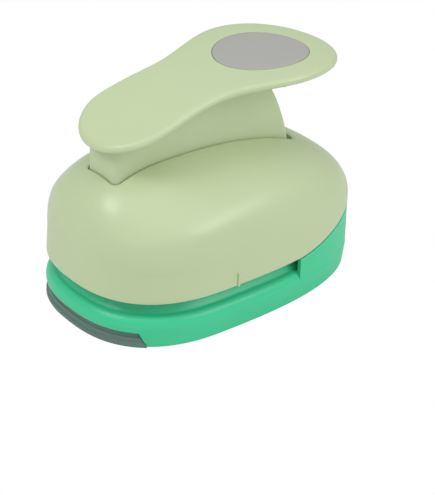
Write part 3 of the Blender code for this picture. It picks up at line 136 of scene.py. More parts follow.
class PunchBody(PropertyGroup):
    """Sizes of the egg-shaped shell and of the outline that it shares with the base."""

    widest_x: mm("Widest station", "Where the body is widest", -23.1)
    front_length: mm("Front length", "From there to the front end", 58.2)
    back_length: mm("Back length", "From there to the back end", 104.4)
    half_width: mm("Half width", "Half the body's width", 50.9)
    front_power: number("Front fullness", "How full the outline's front is", 2.47)
    back_power: number("Back fullness", "How full the outline's back is", 2.69)
    edge_height: mm("Shell edge", "Height of the parting line at the throat", 24.5)
    edge_round: mm("Edge rounding", "Radius of the shell's lower edge", 1.0)
    slot_round: mm("Slot rounding", "Radius of the edge round the slot", 0.9)
    wall_top: mm("Wall top", "Height where the wall turns into the dome", 38.2)
    wall_lean: mm("Wall lean", "How far the wall leans in", 0.7)
    lean_power: number("Lean bend", "How the lean grows with height", 1.5)
    dome_rise: mm("Dome rise", "Height of the dome above the wall", 44.5)
    dome_front: number("Dome front", "How full the dome's front is", 2.65)
    dome_back: number("Dome back", "How full the dome's back is", 1.95)
    dome_side: number("Dome side", "How full the dome's sides are", 1.9)
    dome_shift: mm("Dome shift", "How far its top lies before the widest station", 4.1)
    shoulder_height: mm("Shoulder", "Height of the shoulder at the widest station", 60.5)
    shoulder_climb: number("Shoulder climb", "How steeply it rises to the back", 0.14)
    shoulder_push: mm("Shoulder push", "How far it stands out at the sides", 2.2)
    shoulder_ends: number("Shoulder ends", "Share of the push at the two ends", 0.12)
    shoulder_reach: mm("Shoulder reach", "How far above it the bend runs out", 11.0)
    shoulder_round: number("Shoulder roundness", "How round the bend is, 0 for a crease", 0.22)
    shoulder_fade: number("Shoulder fade", "How fast the push dies away", 1.5)
    throat_end: mm("Throat end", "Station where the throat ends", 24.0)
    parting_rise: mm("Parting rise", "How far it rises to the back", 14.0)
    parting_power: number("Parting bend", "How the parting line bends up", 1.5)
    wall: mm("Wall", "Thickness of the shell's wall", 2.4)
    boss_radius: mm("Boss radius", "Radius of the larger screw bosses", 3.8)
    boss_bore: mm("Boss bore", "Radius of their bores", 1.8)
    front_boss_foot: mm("Front boss foot", "Lower end of the front bosses", 27.4)
    back_boss_foot: mm("Back boss foot", "Lower end of the back bosses", 30.3)
    mark_width: mm("Mark width", "Width of the rib that marks the die", 1.3)
    mark_height: mm("Mark height", "Height of that rib", 7.5)
    mark_proud: mm("Mark depth", "How far it stands out of the wall", 0.7)
    columns: count("Columns", "Points round one outline", 224)
    rows: count("Rows", "Rows from the wall to the slot", 44)


class PunchBase(PropertyGroup):
    """Sizes of the base and its cover."""

    foot_lift: mm("Foot lift", "Gap that the rubber feet leave", 0.8)
    bottom_inset: mm("Bottom inset", "How far the bottom edge draws in", 0.8)
    bottom_round: mm("Bottom rounding", "Radius of the bottom edge", 0.8)
    rim_height: mm("Rim height", "Height of the base's widest line", 11.0)
    shoulder_rise: mm("Shoulder rise", "From there to the top of the rim", 5.6)
    shoulder_inset: mm("Shoulder inset", "How far the rim draws in there", 4.5)
    lead_inset: mm("Lead-in inset", "Where the slope meets the deck", 8.0)
    lead_power: number("Lead-in bend", "How hollow the slope is", 1.4)
    deck: mm("Deck", "Height of the base's deck", 21.0)
    ceiling: mm("Ceiling", "Height of the hollow under the deck", 15.1)
    ceiling_inset: mm("Ceiling inset", "How far the hollow draws in", 7.2)
    wall: mm("Wall", "Thickness of the base's wall", 2.6)
    riser_inset: mm("Riser inset", "How far the high back stands in", 0.15)
    die_x: mm("Die station", "Station of the die's middle", -18.0)
    pocket_floor: mm("Pocket floor", "Floor under the die plate", 18.1)
    pocket_rise: mm("Pocket rise", "How far it is cut above the deck", 1.6)
    pocket_radius: mm("Pocket radius", "Radius of the die plate's pocket", 41.8)
    tongue_end: mm("Tongue end", "Station where it ends", 50.4)
    tongue_half: mm("Tongue half width", "Half width behind the die", 30.3)
    tongue_corner: mm("Tongue corner", "Radius of its corners", 6.3)
    drop_radius: mm("Drop hole", "Radius of the hole under the die", 39.6)
    band_top: mm("Band top", "Top edge of the stepped band", 8.6)
    band_inset: mm("Band inset", "How far the lowest step draws in", 0.1)
    band_step: mm("Band step", "Further inset of each step", 0.8)
    band_steps: count("Band steps", "Steps in the band", 3)
    band_end: mm("Band end", "Station of its lower end", -63.5)
    band_slant: mm("Band slant", "How far its end leans forward", 3.5)
    band_depth: mm("Band depth", "Thickness of the band", 3.2)
    die_boss_foot: mm("Die boss foot", "Lower end of the die's bosses", 8.2)
    post_radius: mm("Post radius", "Radius of the two posts at the back", 5.1)
    post_foot: mm("Post foot", "Lower end of those posts", 4.0)
    post_top: mm("Post top", "Upper end of those posts", 30.0)
    head_bore: mm("Head bore", "Radius round the back screws' heads", 3.1)
    head_seat: mm("Head seat", "Height where those heads bear", 8.0)
    cover_boss: mm("Cover boss", "Radius of the cover screws' bosses", 3.4)
    cover_bore: mm("Cover bore", "Radius of their bores", 1.4)
    cover_bore_top: mm("Cover bore top", "Height where those bores end", 11.6)
    cover_head: mm("Cover head bore", "Radius round the cover screws' heads", 2.5)
    cover_seat: mm("Cover head seat", "Height where those heads bear", 1.9)
    foot_pocket: mm("Foot pocket", "Radius of the feet's pockets", 4.3)
    foot_seat: mm("Foot seat", "Height where the feet bear", 1.6)
    cover_thickness: mm("Cover thickness", "Thickness of the bottom cover", 1.8)
    cover_hole: mm("Cover hole", "Radius of the cover's hole", 40.5)


class PunchLever(PropertyGroup):
    """Sizes of the lever."""

    pivot_x: mm("Pivot station", "Station of the pivot", -57.5)
    pivot_height: mm("Pivot height", "Height of the pivot", 46.0)
    arch_top: mm("Arch top", "Greatest height of the paddle", 114.9)
    arch_x: mm("Arch station", "Station of that height", 31.0)
    arch_radius: mm("Arch radius", "Radius of the paddle's arch", 246.5)
    thickness: mm("Paddle thickness", "Thickness with its lip", 4.2)
    plate: mm("Paddle plate", "Thickness above its recess", 2.2)
    lip: mm("Paddle lip", "Width of the lip round the recess", 2.6)
    edge: mm("Edge rounding", "Radius of the paddle's edge", 2.0)
    front_x: mm("Front end station", "Middle of the round front end", -46.6)
    front_length: mm("Front end length", "Length of the round front end", 23.7)
    front_half: mm("Front end half width", "Half width of the front end", 25.7)
    waist_x: mm("Waist station", "Where the paddle is narrowest", -16.7)
    waist_half: mm("Waist half width", "Half width of the waist", 24.2)
    pad_x: mm("Pad station", "Middle of the pad", 30.2)
    pad_length: mm("Pad length", "Length of the pad's round end", 41.3)
    pad_half: mm("Pad half width", "Half width of the pad", 35.1)
    skirt_front: mm("Skirt front", "Station of its front wall", -63.2)
    skirt_half: mm("Skirt half width", "Half width of the skirt", 11.5)
    skirt_radius: mm("Skirt radius", "Radius of its back wall about the pivot", 104.3)
    skirt_corner: mm("Skirt corner", "Radius of its upright corners", 3.2)
    skirt_wall: mm("Skirt wall", "Thickness of its wall", 2.2)
    skirt_foot: mm("Skirt foot", "Lower edge of its cheeks", 39.0)
    skirt_edge: mm("Skirt edge", "Lower edge of the skirt", 52.0)
    cheek_x: mm("Cheek end", "Station where the cheeks end", -50.0)
    cheek_run: mm("Cheek slope", "Length of the slope up from them", 6.0)
    slot_play: mm("Slot play", "Gap between the skirt and the slot", 0.6)
    nose_radius: mm("Nose radius", "Radius of the press nose", 4.0)
    nose_lift: mm("Nose lift", "Its height above the pivot", 4.7)
    rib: mm("Rib", "Thickness of the ribs", 1.8)
    rib_pitch: mm("Rib pitch", "Distance between the ribs", 18.0)
    barrel: mm("Barrel radius", "Radius of the pin's barrel", 5.0)
    bore: mm("Bore radius", "Radius of the pin's bore", 2.8)
    badge_x: mm("Badge station", "Middle of the badge", 31.5)
    badge_long: mm("Badge half length", "Half its length", 25.0)
    badge_half: mm("Badge half width", "Half its width", 21.7)
    badge_depth: mm("Badge thickness", "Thickness of the badge", 0.5)


class PunchFinish(PropertyGroup):
    """Colours of the punch and of what it stands on."""

    mint: colour("Mint", "Shell and lever", (0.56, 0.665, 0.4))
    teal: colour("Teal", "Base", (0.05, 0.65, 0.325))
    smoke: colour("Smoke", "Bottom cover", (0.12, 0.2, 0.175))
    badge: colour("Badge", "Disc on the pad", (0.42, 0.42, 0.4))
    steel: colour("Steel", "Die, punch, posts and pin", (0.56, 0.57, 0.58))
    zinc: colour("Zinc", "Plated pieces", (0.68, 0.68, 0.63))
    spring: colour("Spring", "Springs and clip", (0.47, 0.47, 0.5))
    block: colour("Block", "Press block", (0.75, 0.75, 0.72))
    rubber: colour("Rubber", "Feet", (0.03, 0.03, 0.032))
    floor: colour("Floor", "Floor and backdrop", (0.9, 0.9, 0.9))


class PunchView(PropertyGroup):
    """Place of the camera and strength of the lights."""

    target_x: mm("Target X", "Station that the camera looks at", 24.39)
    target_y: mm("Target Y", "Offset that the camera looks at", 16.62)
    heading: angle("Heading", "Turn of the camera about Z", 40.15)
    pitch: angle("Pitch", "How steeply the camera looks down", 29.9)
    roll: angle("Roll", "Tilt of the camera", 2.93)
    distance: mm("Distance", "From the target to the camera", 922.7)
    lens: number("Lens", "Focal length in millimetres", 145.66)
    key: number("Key light", "Power of the light at the upper left", 1.2)
    fill: number("Fill light", "Power of the light at the right", 1.55)
    top: number("Top light", "Power of the light overhead", 1.3)
    sky: number("Ambient light", "Strength of the even light", 0.49)


def tree_of(name):
    """A new node material with its node tree and its shader."""
    stuff = bpy.data.materials.new(name)
    stuff.use_nodes = True
    tree = stuff.node_tree
    return stuff, tree, tree.nodes["Principled BSDF"]


def add(tree, kind, values=None):
    """A new shader node with some of its inputs set."""
    node = tree.nodes.new("ShaderNode" + kind)
    for name, value in (values or {}).items():
        node.inputs[name].default_value = value
    return node


def noise(tree, scale, detail, stretch=(1, 1, 1)):
    """A noise texture on the object's own coordinates, squeezed by a stretch."""
    place = add(tree, "TexCoord")
    squeeze = add(tree, "Mapping", {"Scale": stretch})
    texture = add(tree, "TexNoise", {"Scale": scale, "Detail": detail})
    tree.links.new(place.outputs["Object"], squeeze.inputs["Vector"])
    tree.links.new(squeeze.outputs["Vector"], texture.inputs["Vector"])
    return texture


def spread(tree, texture, low, high):
    """The texture's value mapped from its usual range to low and high."""
    least, most = NOISE_RANGE
    scale = add(tree, "MapRange", {"From Min": least, "From Max": most, "To Min": low, "To Max": high})
    tree.links.new(texture.outputs["Fac"], scale.inputs["Value"])
    return scale.outputs["Result"]


def uneven(tree, shader, shade, texture, change):
    """Colour the shader a little darker and lighter than a shade, as a texture varies."""
    mix = add(tree, "Mix")
    mix.data_type = "RGBA"
    mix.inputs["A"].default_value = (*[c * (1 - change) for c in shade], 1)
    mix.inputs["B"].default_value = (*[min(c * (1 + change), 1) for c in shade], 1)
    tree.links.new(spread(tree, texture, 0, 1), mix.inputs["Factor"])
    tree.links.new(mix.outputs["Result"], shader.inputs["Base Color"])


def grain(tree, shader, texture, strength, depth):
    """Fine relief from a texture."""
    bump = add(tree, "Bump", {"Strength": strength, "Distance": depth})
    tree.links.new(texture.outputs["Fac"], bump.inputs["Height"])
    tree.links.new(bump.outputs["Normal"], shader.inputs["Normal"])


def plastic(name, shade, roughness, relief):
    """Moulded plastic: faint uneven colour and gloss, and a fine relief."""
    stuff, tree, shader = tree_of(name)
    uneven(tree, shader, shade, noise(tree, scale=22, detail=2), change=0.015)
    gloss = spread(tree, noise(tree, scale=60, detail=2), low=roughness - 0.02, high=roughness + 0.02)
    tree.links.new(gloss, shader.inputs["Roughness"])
    grain(tree, shader, noise(tree, scale=500, detail=1), strength=relief, depth=0.02 * MM)
    shader.inputs["Specular IOR Level"].default_value = 0.45
    return stuff


def metal(name, shade, roughness, stretch):
    """Worked steel: fine marks drawn out along one direction, and uneven gloss."""
    stuff, tree, shader = tree_of(name)
    shader.inputs["Metallic"].default_value = 1.0
    texture = noise(tree, scale=300, detail=5, stretch=stretch)
    uneven(tree, shader, shade, texture, change=0.1)
    gloss = spread(tree, texture, low=roughness - 0.06, high=roughness + 0.08)
    tree.links.new(gloss, shader.inputs["Roughness"])
    grain(tree, shader, texture, strength=0.15, depth=0.03 * MM)
    return stuff


def quarter(steps):
    """Angles from 0 to 90 degrees in equal steps."""
    return [radians(90) * i / steps for i in range(steps + 1)]


def finish(thing):
    """Shade a piece smooth except at its sharp edges."""
    thing.data.shade_smooth()
    thing.data.set_sharp_from_angle(angle=SHARP)
    return thing


def from_bmesh(name, shape, stuff=None):
    """Turn a bmesh into an object in the scene."""
    mesh = bpy.data.meshes.new(name)
    shape.to_mesh(mesh)
    shape.free()
    if stuff is not None:
        mesh.materials.append(stuff)
    thing = bpy.data.objects.new(name, mesh)
    bpy.context.scene.collection.objects.link(thing)
    return finish(thing)


def skin(shape, rows):
    """Join each row of points to the next one with faces."""
    for lower, upper in zip(rows, rows[1:]):
        for i, corner in enumerate(lower):
            j = (i + 1) % len(lower)
            shape.faces.new((corner, lower[j], upper[j], upper[i]))


def loft(rings, name="tool", stuff=None, closed=False):
    """Skin rings that have the same number of points. Close both ends, or join the last to the first."""
    shape = bmesh.new()
    rows = [[shape.verts.new(point) for point in ring] for ring in rings]
    if closed:
        rows.append(rows[0])
    else:
        shape.faces.new(rows[0])
        shape.faces.new(rows[-1])
    skin(shape, rows)
    bmesh.ops.recalc_face_normals(shape, faces=shape.faces)
    return from_bmesh(name, shape, stuff)


def prism(points, low, high):
    """A plan extruded upwards from low to high."""
    return loft([[(x, y, z) for x, y in points] for z in (low, high)])


def bar(points, half=FAR):
    """A side view extruded along Y, half to each side."""
    return loft([[(x, y, z) for x, z in points] for y in (-half, half)])


def circle(x, y, radius, sides):
    """Points of a circle in plan or in side view."""
    turns = [2 * pi * i / sides for i in range(sides)]
    return [(x + radius * cos(turn), y + radius * sin(turn)) for turn in turns]


def strip(x, thickness, low, high):
    """The four corners of a strip across X, from low to high."""
    left, right = x - thickness / 2, x + thickness / 2
    return [(left, low), (right, low), (right, high), (left, high)]


def combine(target, tool, operation):
    """Apply a boolean step to the target, and remove the tool."""
    step = target.modifiers.new("step", "BOOLEAN")
    step.operation = operation
    step.object = tool
    step.solver = "EXACT"
    bpy.context.view_layer.update()
    solid = bpy.data.meshes.new_from_object(target.evaluated_get(bpy.context.evaluated_depsgraph_get()))
    target.modifiers.clear()
    old = target.data
    target.data = solid
    solid.name = target.name
    bpy.data.meshes.remove(old)
    bpy.data.objects.remove(tool, do_unlink=True)


def cut(target, tool):
    """Cut a tool out of the target."""
    combine(target, tool, "DIFFERENCE")


def join(target, tool):
    """Join a tool to the target."""
    combine(target, tool, "UNION")


def drill(target, x, y, radius, low, high, sides=BORE_SIDES):
    """Cut an upright round bore."""
    cut(target, prism(circle(x, y, radius, sides), low, high))


def ends(body, past=0):
    """Stations of the body's front and back ends, or a little past them."""
    return body.widest_x - body.front_length - past, body.widest_x + body.back_length + past


def egg_point(body, i, inset, scales=(1, 1, 1), shift=0):
    """One point of the body's plan outline, drawn in by an inset and scaled front, back and side."""
    front, back, side = scales
    turn = 2 * pi * i / body.columns
    along, across = cos(turn), sin(turn)
    if along > 0:
        reach, power, scale = body.back_length, body.back_power, back
    else:
        reach, power, scale = body.front_length, body.front_power, front
    x = copysign(abs(along) ** (2 / power), along) * (reach - inset) * scale
    y = copysign(abs(across) ** (2 / power), across) * (body.half_width - inset) * side
    return body.widest_x + x + shift, y


def egg_loft(body, profile, name="tool", stuff=None):
    """The body's plan outline carried through a profile of (inset, height) points."""
    rings = [[(*egg_point(body, i, inset), height) for i in range(body.columns)] for inset, height in profile]
    return loft(rings, name, stuff)


def wall_inset(body, base, height):
    """How far the wall leans in at a height."""
    share = max(min(height, body.wall_top) - base.rim_height, 0) / (body.wall_top - base.rim_height)
    return body.wall_lean * share ** body.lean_power


def dome_scales(body, share):
    """How much the dome has closed in at the front, the back and the sides at a share of its rise."""
    return [(1 - share ** power) ** (1 / power) for power in (body.dome_front, body.dome_back, body.dome_side)]


def shell_point(body, base, i, inset, height):
    """The point of the shell's surface on one column at a height."""
    scales = (1, 1, 1)
    if height > body.wall_top:
        scales = dome_scales(body, (height - body.wall_top) / (body.dome_rise - inset))
    shift = body.dome_shift * (scales[2] - 1)
    return (*egg_point(body, i, wall_inset(body, base, height) + inset, scales, shift), height)


def shoulder_offset(body, i, x, height):
    """How far the shoulder pushes out the dome's even curve at a point of one column."""
    middle = body.shoulder_height + body.shoulder_climb * (x - body.widest_x)
    reach = body.shoulder_reach if height > middle else middle - body.wall_top
    share = abs(height - middle) / reach
    if share >= 1:
        return 0
    soft = body.shoulder_round
    crest = 1 - (hypot(share, soft) - soft) / (hypot(1, soft) - soft)
    across = sin(2 * pi * i / body.columns)
    least = body.shoulder_ends
    return body.shoulder_push * crest ** body.shoulder_fade * (least + (1 - least) * across ** 2)


def dome_height(body, inset, x, y):
    """Height of the dome over a point in plan, found by halving the range of its rise."""
    lean = body.wall_lean + inset
    low, high = 0.0, 1.0
    for _ in range(HALVINGS):
        share = (low + high) / 2
        front, back, side = dome_scales(body, share)
        run = x - body.widest_x - body.dome_shift * (side - 1)
        if run > 0:
            reach, power = (body.back_length - lean) * back, body.back_power
        else:
            reach, power = (body.front_length - lean) * front, body.front_power
        outside = (abs(run) / reach) ** power + (abs(y) / ((body.half_width - lean) * side)) ** power > 1
        low, high = (low, share) if outside else (share, high)
    return body.wall_top + (body.dome_rise - inset) * low


def parting_height(body, x):
    """Where the shell's lower edge runs: level along the throat, rising towards the back."""
    share = max(x - body.throat_end, 0) / (ends(body)[1] - body.throat_end)
    return body.edge_height + body.parting_rise * share ** body.parting_power


def above_parting(body, steps=48):
    """Side view of the space above the parting line, with half the gap to the shell."""
    left, right = ends(body, OVERRUN)
    line = [left] + [body.throat_end + (right - body.throat_end) * i / steps for i in range(steps + 1)]
    return [(x, parting_height(body, x) - PLAY / 2) for x in line] + [(right, FAR), (left, FAR)]


def slot_point(lever, x, y):
    """The point of the slot's round-cornered outline that is nearest to a point outside it."""
    corner = lever.skirt_corner + lever.slot_play
    left = lever.skirt_front - lever.slot_play + corner
    right = lever.pivot_x + lever.skirt_radius + PLAY - corner
    half = lever.skirt_half + lever.slot_play - corner
    middle = Vector((min(max(x, left), right), min(max(y, -half), half)))
    away = (Vector((x, y)) - middle).normalized()
    return middle + away * corner


def shell_columns(body, base, lever, wall_rows=14, inner_rows=15, inner_wall_rows=6, crowding=1.8):
    """The shell as columns of points: up the outside, over into the slot, and back down the inside."""
    wall_end = body.wall_top + OVERRUN
    low_round, slot_round = body.edge_round, body.slot_round
    columns = []
    for i in range(body.columns):
        edge = parting_height(body, egg_point(body, i, 0)[0]) + PLAY / 2
        column = []
        for turn in quarter(ROUND_STEPS):
            inset = low_round * (1 - sin(turn))
            column.append(shell_point(body, base, i, inset, edge + low_round * (1 - cos(turn))))
        start = edge + low_round
        for k in range(1, wall_rows + 1):
            column.append(shell_point(body, base, i, 0, start + (wall_end - start) * k / wall_rows))
        outer = Vector(column[-1][:2])
        slot = slot_point(lever, *outer)
        out = (outer - slot).normalized()
        for k in range(1, body.rows + 1):
            share = (k / body.rows) ** crowding * (1 - slot_round / (outer - slot).length)
            x, y = outer.lerp(slot, share)
            height = dome_height(body, 0, x, y)
            push = out * shoulder_offset(body, i, x, height)
            column.append((x + push.x, y + push.y, height))
        for turn in quarter(ROUND_STEPS)[1:]:
            x, y = slot + out * slot_round * (1 - sin(turn))
            column.append((x, y, dome_height(body, 0, x, y) - slot_round * (1 - cos(turn))))
        inner = Vector(shell_point(body, base, i, body.wall, wall_end)[:2])
        for k in range(inner_rows):
            x, y = inner.lerp(slot, (1 - k / inner_rows) ** crowding)
            column.append((x, y, dome_height(body, body.wall, x, y)))
        for k in range(inner_wall_rows + 1):
            height = edge + (wall_end - edge) * (1 - k / inner_wall_rows)
            column.append(shell_point(body, base, i, body.wall, height))
        columns.append(column)
    return columns


def mark_rib(body, base, side):
    """One of the small ribs on the wall that mark the middle of the die."""
    outer = body.half_width - wall_inset(body, base, body.edge_height)
    low = body.edge_height + PLAY / 2
    rings = []
    for height, narrow in ((0, MARK_FOOT), (MARK_FOOT, 0), (body.mark_height - MARK_FALL, 0),
                           (body.mark_height, MARK_TIP)):
        half = (body.mark_width - narrow) / 2
        plan = rounded_rectangle(base.die_x - half, base.die_x + half, body.mark_proud - narrow,
                                 MARK_CORNER, ROUND_STEPS)
        rings.append([(x, side * (outer + y), low + height) for x, y in plan])
    return loft(rings)


def make_shell(body, base, lever, stuff):
    """The domed shell with its slot, its bosses and the ribs that mark the middle of the die."""
    rings = [list(ring) for ring in zip(*shell_columns(body, base, lever))]
    shell = loft(rings, "shell_moulding", stuff, closed=True)
    for name, foot in (("front_shell_screw", body.front_boss_foot), ("back_shell_screw", body.back_boss_foot)):
        for x, y, top_of_screw in places(name, 2):
            plan = circle(x, y, body.boss_radius, BOSS_SIDES)
            top = [(px, py, dome_height(body, body.wall / 2, px, py)) for px, py in plan]
            boss = loft([[(px, py, foot) for px, py in plan], top])
            drill(boss, x, y, body.boss_bore, 0, top_of_screw + OVERRUN)
            join(shell, boss)
    for side in SIDES:
        join(shell, mark_rib(body, base, side))
    return finish(shell)


def base_profile(base, wall_steps=6, rim_steps=14, lead_steps=10):
    """The base's outside as (inset, height) points, from its bottom edge to the deck."""
    profile = [(base.bottom_inset + base.bottom_round * (1 - sin(turn)),
                base.foot_lift + base.bottom_round * (1 - cos(turn))) for turn in quarter(ROUND_STEPS)]
    inset, height = profile[-1]
    for i in range(1, wall_steps):
        share = i / wall_steps
        profile.append((inset * (1 - share), height + (base.rim_height - height) * share))
    profile += [(base.shoulder_inset * (1 - cos(turn)), base.rim_height + base.shoulder_rise * sin(turn))
                for turn in quarter(rim_steps)]
    low = base.rim_height + base.shoulder_rise
    for i in range(1, lead_steps + 1):
        share = i / lead_steps
        profile.append((base.shoulder_inset + (base.lead_inset - base.shoulder_inset) * share,
                        low + (base.deck - low) * share ** base.lead_power))
    return profile


def places(name, how_many):
    """Middle of each of the frame's numbered pieces in plan, with the height of its top."""
    spots = []
    for i in range(how_many):
        low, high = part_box(f"{name}_{i + 1}")
        spots.append(((low.x + high.x) / 2, (low.y + high.y) / 2, high.z))
    return spots


def band_side(base, far, foot, top):
    """Side view of the space on one side of the band's slanted end."""
    slope = base.band_slant / base.band_top
    return [(far, -OVERRUN), (foot + OVERRUN * slope, -OVERRUN), (foot - top * slope, top), (far, top)]


def make_riser(body, base, steps=12):
    """The high back of the base, up to the parting line and behind the throat."""
    low = base.rim_height + PLAY
    heights = [low + (body.wall_top - low) * i / steps for i in range(steps + 1)]
    riser = egg_loft(body, [(wall_inset(body, base, z) + base.riser_inset, z) for z in heights])
    cut(riser, egg_loft(body, [(base.wall, base.rim_height - OVERRUN), (base.wall, body.wall_top + OVERRUN)]))
    cut(riser, bar(above_parting(body)))
    cut(riser, bar([(-FAR, 0), (body.throat_end, 0), (body.throat_end, FAR), (-FAR, FAR)]))
    return riser


def make_base(body, base, stuff):
    """The base: rim, lead-in slope, deck with its round hole, and the high back."""
    thing = egg_loft(body, base_profile(base), "base_moulding", stuff)
    join(thing, make_riser(body, base))
    cover_top = base.foot_lift + base.cover_thickness
    inside = base.bottom_inset + base.wall
    cut(thing, egg_loft(body, (
        (inside, -OVERRUN), (inside, cover_top), (base.wall + PLAY, base.rim_height - base.wall),
        ((base.wall + base.ceiling_inset) / 2, (base.rim_height + base.ceiling) / 2),
        (base.ceiling_inset, base.ceiling))))
    pocket_top = base.deck + base.pocket_rise
    tongue = rounded_rectangle(base.die_x, base.tongue_end, base.tongue_half, base.tongue_corner)
    drill(thing, base.die_x, 0, base.pocket_radius, base.pocket_floor, pocket_top, DIE_SIDES)
    cut(thing, prism(tongue, base.pocket_floor, pocket_top))
    drill(thing, base.die_x, 0, base.drop_radius, 0, base.deck + OVERRUN, DIE_SIDES)
    cut(thing, bar(band_side(base, -FAR, base.band_end, base.band_top + PLAY)))
    under_deck = (base.ceiling + base.pocket_floor) / 2
    bosses = (("die_screw", 4, body.boss_radius, body.boss_bore, base.die_boss_foot, under_deck, FAR),
              ("back_shell_screw", 2, base.post_radius, body.boss_bore, base.post_foot, base.post_top, FAR),
              ("cover_screw", 4, base.cover_boss, base.cover_bore, cover_top + PLAY, under_deck, base.cover_bore_top))
    for name, how_many, radius, bore, low, high, bore_end in bosses:
        for x, y, _ in places(name, how_many):
            join(thing, prism(circle(x, y, radius, BOSS_SIDES), low, high))
        for x, y, _ in places(name, how_many):
            drill(thing, x, y, bore, -OVERRUN, bore_end)
    for x, y, _ in places("back_shell_screw", 2):
        drill(thing, x, y, base.head_bore, -OVERRUN, base.head_seat)
    return finish(thing)


def make_cover(body, base, stuff):
    """The bottom cover, with the stepped band that shows round the front of the base."""
    cover_top = base.foot_lift + base.cover_thickness
    inset = base.bottom_inset + base.wall + PLAY
    cover = egg_loft(body, [(inset, base.foot_lift), (inset, cover_top)], "cover_moulding", stuff)
    rise = (base.band_top - base.foot_lift) / base.band_steps
    profile = [(base.band_inset + further, base.foot_lift + height) for further, height in BAND_BOTTOM]
    for i in range(base.band_steps):
        out = base.band_inset + base.band_step * i
        low = base.foot_lift + rise * i
        profile.append((out, low + STEP_FOOT))
        profile += [(out + further, low + rise - drop) for further, drop in STEP_EDGE]
    band = egg_loft(body, profile)
    inside = base.band_inset + base.band_depth
    cut(band, egg_loft(body, [(inside, cover_top), (inside, base.band_top + OVERRUN)]))
    cut(band, bar(band_side(base, FAR, base.band_end - PLAY, base.band_top + OVERRUN)))
    join(cover, band)
    through = cover_top + OVERRUN
    drill(cover, base.die_x, 0, base.cover_hole, -OVERRUN, through, DIE_SIDES)
    for name, radius, seat in (("cover_screw", base.cover_bore, through),
                               ("cover_screw", base.cover_head, base.cover_seat),
                               ("rubber_foot", base.foot_pocket, base.foot_seat)):
        for x, y, _ in places(name, 4):
            drill(cover, x, y, radius, -OVERRUN, seat, BOSS_SIDES)
    return finish(cover)


def ease(share):
    """A smooth step from 0 to 1."""
    return share * share * (3 - 2 * share)


def paddle_height(lever, x):
    """Height of the arched paddle's middle at a station."""
    return lever.arch_top - lever.arch_radius + sqrt(lever.arch_radius ** 2 - (x - lever.arch_x) ** 2)


def paddle_half(lever, x):
    """Half the paddle's width at a station."""
    if x < lever.front_x:
        return lever.front_half * sqrt(max(1 - ((lever.front_x - x) / lever.front_length) ** 2, 0))
    if x > lever.pad_x:
        return lever.pad_half * sqrt(max(1 - ((x - lever.pad_x) / lever.pad_length) ** 2, 0))
    if x < lever.waist_x:
        share = (x - lever.front_x) / (lever.waist_x - lever.front_x)
        return lever.front_half + (lever.waist_half - lever.front_half) * ease(share)
    share = (x - lever.waist_x) / (lever.pad_x - lever.waist_x)
    return lever.waist_half + (lever.pad_half - lever.waist_half) * ease(share)


def paddle_outline(lever, front_steps=24, middle_steps=40, pad_steps=32):
    """The near half of the paddle's plan from the front tip to the back tip, with outward normals."""
    middle = lever.pad_x - lever.front_x
    stations = [lever.front_x - lever.front_length * cos(turn) for turn in quarter(front_steps)]
    stations += [lever.front_x + middle * i / middle_steps for i in range(1, middle_steps)]
    stations += [lever.pad_x + lever.pad_length * sin(turn) for turn in quarter(pad_steps)]
    plan = [Vector((x, -paddle_half(lever, x))) for x in stations]
    outline = []
    for i, point in enumerate(plan):
        if i in (0, len(plan) - 1):
            normal = Vector((-1 if i == 0 else 1, 0))
        else:
            run = (plan[i + 1] - plan[i - 1]).normalized()
            normal = Vector((run.y, -run.x))
        outline.append((point, normal))
    return outline


def pillow(lever, outline, profile, name="tool", stuff=None):
    """A slab on the paddle's arch: a profile of (inset, height) points swept round a plan outline.

    The first and last points of the profile are carried on to the middle line of the plan.
    """
    both = outline + [(Vector((p.x, -p.y)), Vector((n.x, -n.y))) for p, n in reversed(outline[1:-1])]
    shape = bmesh.new()
    rows = []
    for inset, height in profile:
        row = []
        for point, normal in both:
            x, y = point - normal * inset
            if y * point.y < 0:
                y = 0
            row.append((x, y, paddle_height(lever, x) + height))
        rows.append(row)
    under, over = ([[(x, y * share, z) for x, y, z in row] for share in MIDDLE_SHARES] for row in (rows[0], rows[-1]))
    skin(shape, [[shape.verts.new(point) for point in row] for row in under[::-1] + rows + over])
    bmesh.ops.remove_doubles(shape, verts=shape.verts, dist=WELD)
    bmesh.ops.dissolve_degenerate(shape, edges=shape.edges, dist=WELD / 2)
    bmesh.ops.recalc_face_normals(shape, faces=shape.faces)
    return from_bmesh(name, shape, stuff)


def oval(x, long, half, steps=48):
    """The near half of an oval's plan, with outward normals."""
    outline = []
    for i in range(steps + 1):
        turn = pi * i / steps
        normal = Vector((-cos(turn) / long, -sin(turn) / half)).normalized()
        outline.append((Vector((x - long * cos(turn), -half * sin(turn))), normal))
    return outline


def round_edge(radius, half, steps=6):
    """Points round a slab's edge that faces outwards, from the underside to the top."""
    turns = [radians(90) * i / steps for i in range(-steps, steps + 1)]
    return [(radius * (1 - cos(turn)), half * sin(turn)) for turn in turns]


def rounded_rectangle(left, right, half, corner, steps=8):
    """A rectangle in plan with round corners."""
    points = []
    for place, (x, y) in enumerate(((right - corner, half - corner), (left + corner, half - corner),
                                    (left + corner, corner - half), (right - corner, corner - half))):
        for i in range(steps + 1):
            turn = radians(90) * (place + i / steps)
            points.append((x + corner * cos(turn), y + corner * sin(turn)))
    return points


def skirt_back(lever, height, thin=0):
    """Station of the skirt's curved back wall at a height."""
    rise = height - lever.pivot_height
    return lever.pivot_x + sqrt((lever.skirt_radius - thin) ** 2 - rise ** 2)


